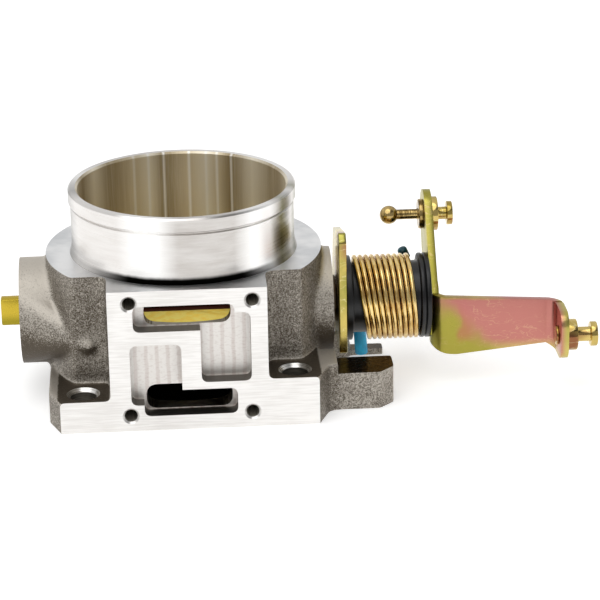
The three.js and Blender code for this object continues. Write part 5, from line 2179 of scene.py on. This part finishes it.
# ------------------------------------------------------------------------------ studio
@dataclass(frozen=True)
class StudioFloor(Finish):
    """Matt white paper, lit a little from behind, with a painted shadow under the bore, where it is black
    and gives no glow.
    """

    name: str = "studio_floor"
    colour: Colour = (0.9, 0.9, 0.9)
    cloud_colour: Colour = (0.88, 0.88, 0.88)
    # Colour of the painted shadow under the bore.
    dark: Colour = (0.002, 0.002, 0.002)
    glow: float = 0.42
    bore_r: float = 0.031
    fade: float = 0.004

    def dress(self, tree: ShaderTree) -> None:
        """Builds the nodes.

        Args:
            tree: the material's empty tree.
        """
        place = tree.place()
        cloud = tree.noise(place, 3.0, 2.0)
        x, y, _ = tree.split(place)
        away = tree.node("ShaderNodeMath", {"operation": "SQRT"}, {0: x * x + y * y})
        # Painted shadow: inside the bore's circle the floor is black and its glow is switched off.
        under = away.above(self.bore_r + self.fade, self.bore_r)
        colour = tree.mixed(cloud * 0.02, self.colour, self.cloud_colour)
        tree.surface(
            Base_Color=tree.mixed(under, colour, self.dark),
            Roughness=0.9,
            Specular_IOR_Level=0.1,
            Emission_Color=tree.mixed(under, WHITE, BLACK),
            Emission_Strength=self.glow,
        )


@dataclass
class Studio:
    """Pale floor, soft lights and the camera."""

    floor_half: float = 6000.0
    lens: float = 150.0
    sensor: float = 36.0
    distance: float = 846.37
    elevation: float = 20.74
    yaw: float = 3.49
    roll: float = 0.95
    across: float = 39.07
    down: float = 15.31
    aim_z: float = 45.0
    room: float = 0.8
    floor_span: Point2 = (-20.0, -0.02)
    key_direction: Point3 = (0.3, 0.45, -1.0)
    key_strength: float = 1.25
    key_spread: float = 60.0
    dark_band: float = 0.85

    def floor(self) -> None:
        """Lays the floor."""
        half = self.floor_half
        outline = [(-half, -half), (half, -half), (half, half), (-half, half)]
        floor = Mesh.pushed("studio_floor", outline, Axis.Z, *self.floor_span)
        paint(floor, StudioFloor())

    def camera(self) -> None:
        """Sets up the camera."""
        lift, turn, tilt = (math.radians(value) for value in (self.elevation, self.yaw, self.roll))
        right = Vector((1.0, 0.0, 0.0))
        up = Vector((0.0, math.sin(lift), math.cos(lift)))
        ahead = Vector((0.0, math.cos(lift), -math.sin(lift)))
        place = right * self.across - up * self.down - ahead * self.distance + Vector((0.0, 0.0, self.aim_z))
        swing = Matrix.Rotation(-turn, 3, "Z")
        place, right, up, ahead = (swing @ value for value in (place, right, up, ahead))
        level = right * math.cos(tilt) - up * math.sin(tilt)
        upright = right * math.sin(tilt) + up * math.cos(tilt)
        pose = Matrix((level, upright, -ahead)).transposed().to_4x4()
        pose.translation = place * MM
        data = bpy.data.cameras.new("camera")
        data.lens = self.lens
        data.sensor_width = self.sensor
        data.clip_start = 0.01
        data.clip_end = 50.0
        camera = bpy.data.objects.new("camera", data)
        camera.matrix_world = pose
        bpy.context.collection.objects.link(camera)
        bpy.context.scene.camera = camera

    @staticmethod
    def sun(name: str, towards: Point3, strength: float, spread: float) -> None:
        """Adds an even light from one side.

        Args:
            name: object name.
            towards: direction that it shines in.
            strength: in watts per square metre.
            spread: its width in the sky, in degrees.
        """
        data = bpy.data.lights.new(name, "SUN")
        data.energy = strength
        data.angle = math.radians(spread)
        light = bpy.data.objects.new(name, data)
        light.rotation_euler = Vector(towards).to_track_quat("-Z", "Y").to_euler()
        bpy.context.collection.objects.link(light)

    def world(self) -> None:
        """Makes the white room, whose darker zones give the metal its contrast."""
        world = bpy.data.worlds.new("studio")
        bpy.context.scene.world = world
        tree = ShaderTree(world)
        x, y, z = tree.split(tree.node("ShaderNodeTexCoord", output="Generated"))
        before = (0.0 - y).above(-0.1, 0.3)
        band = z.above(0.6, 0.7) * z.above(0.97, 0.9) * before
        overhead = z.above(0.9, 0.97)
        left = (0.0 - x).above(0.2, 0.9)
        level = 0.45 + overhead * 0.6 + left * 0.2 + y.above(-0.1, 0.4) * 0.5
        level = level * (1.0 - band * self.dark_band)
        colour = tree.mixed(level, BLACK, WHITE)
        inputs = {"Color": colour, "Strength": self.room}
        glow = tree.node("ShaderNodeBackground", None, inputs, "Background")
        tree.node("ShaderNodeOutputWorld", None, {"Surface": glow})

    def build(self) -> None:
        """Builds the whole studio."""
        self.floor()
        self.world()
        self.sun("key_light", self.key_direction, self.key_strength, self.key_spread)
        self.camera()
        view = bpy.context.scene.view_settings
        view.view_transform = "Standard"
        view.look = "None"


def main() -> None:
    """Builds everything in order."""
    logging.basicConfig(level=logging.INFO, format="%(name)s: %(message)s")
    Studio().build()
    Housing().build()
    ShaftGroup().build()
    Stops().build()
    SpringGroup().build()
    LeverGroup().build()


if __name__ == "__main__":
    main()
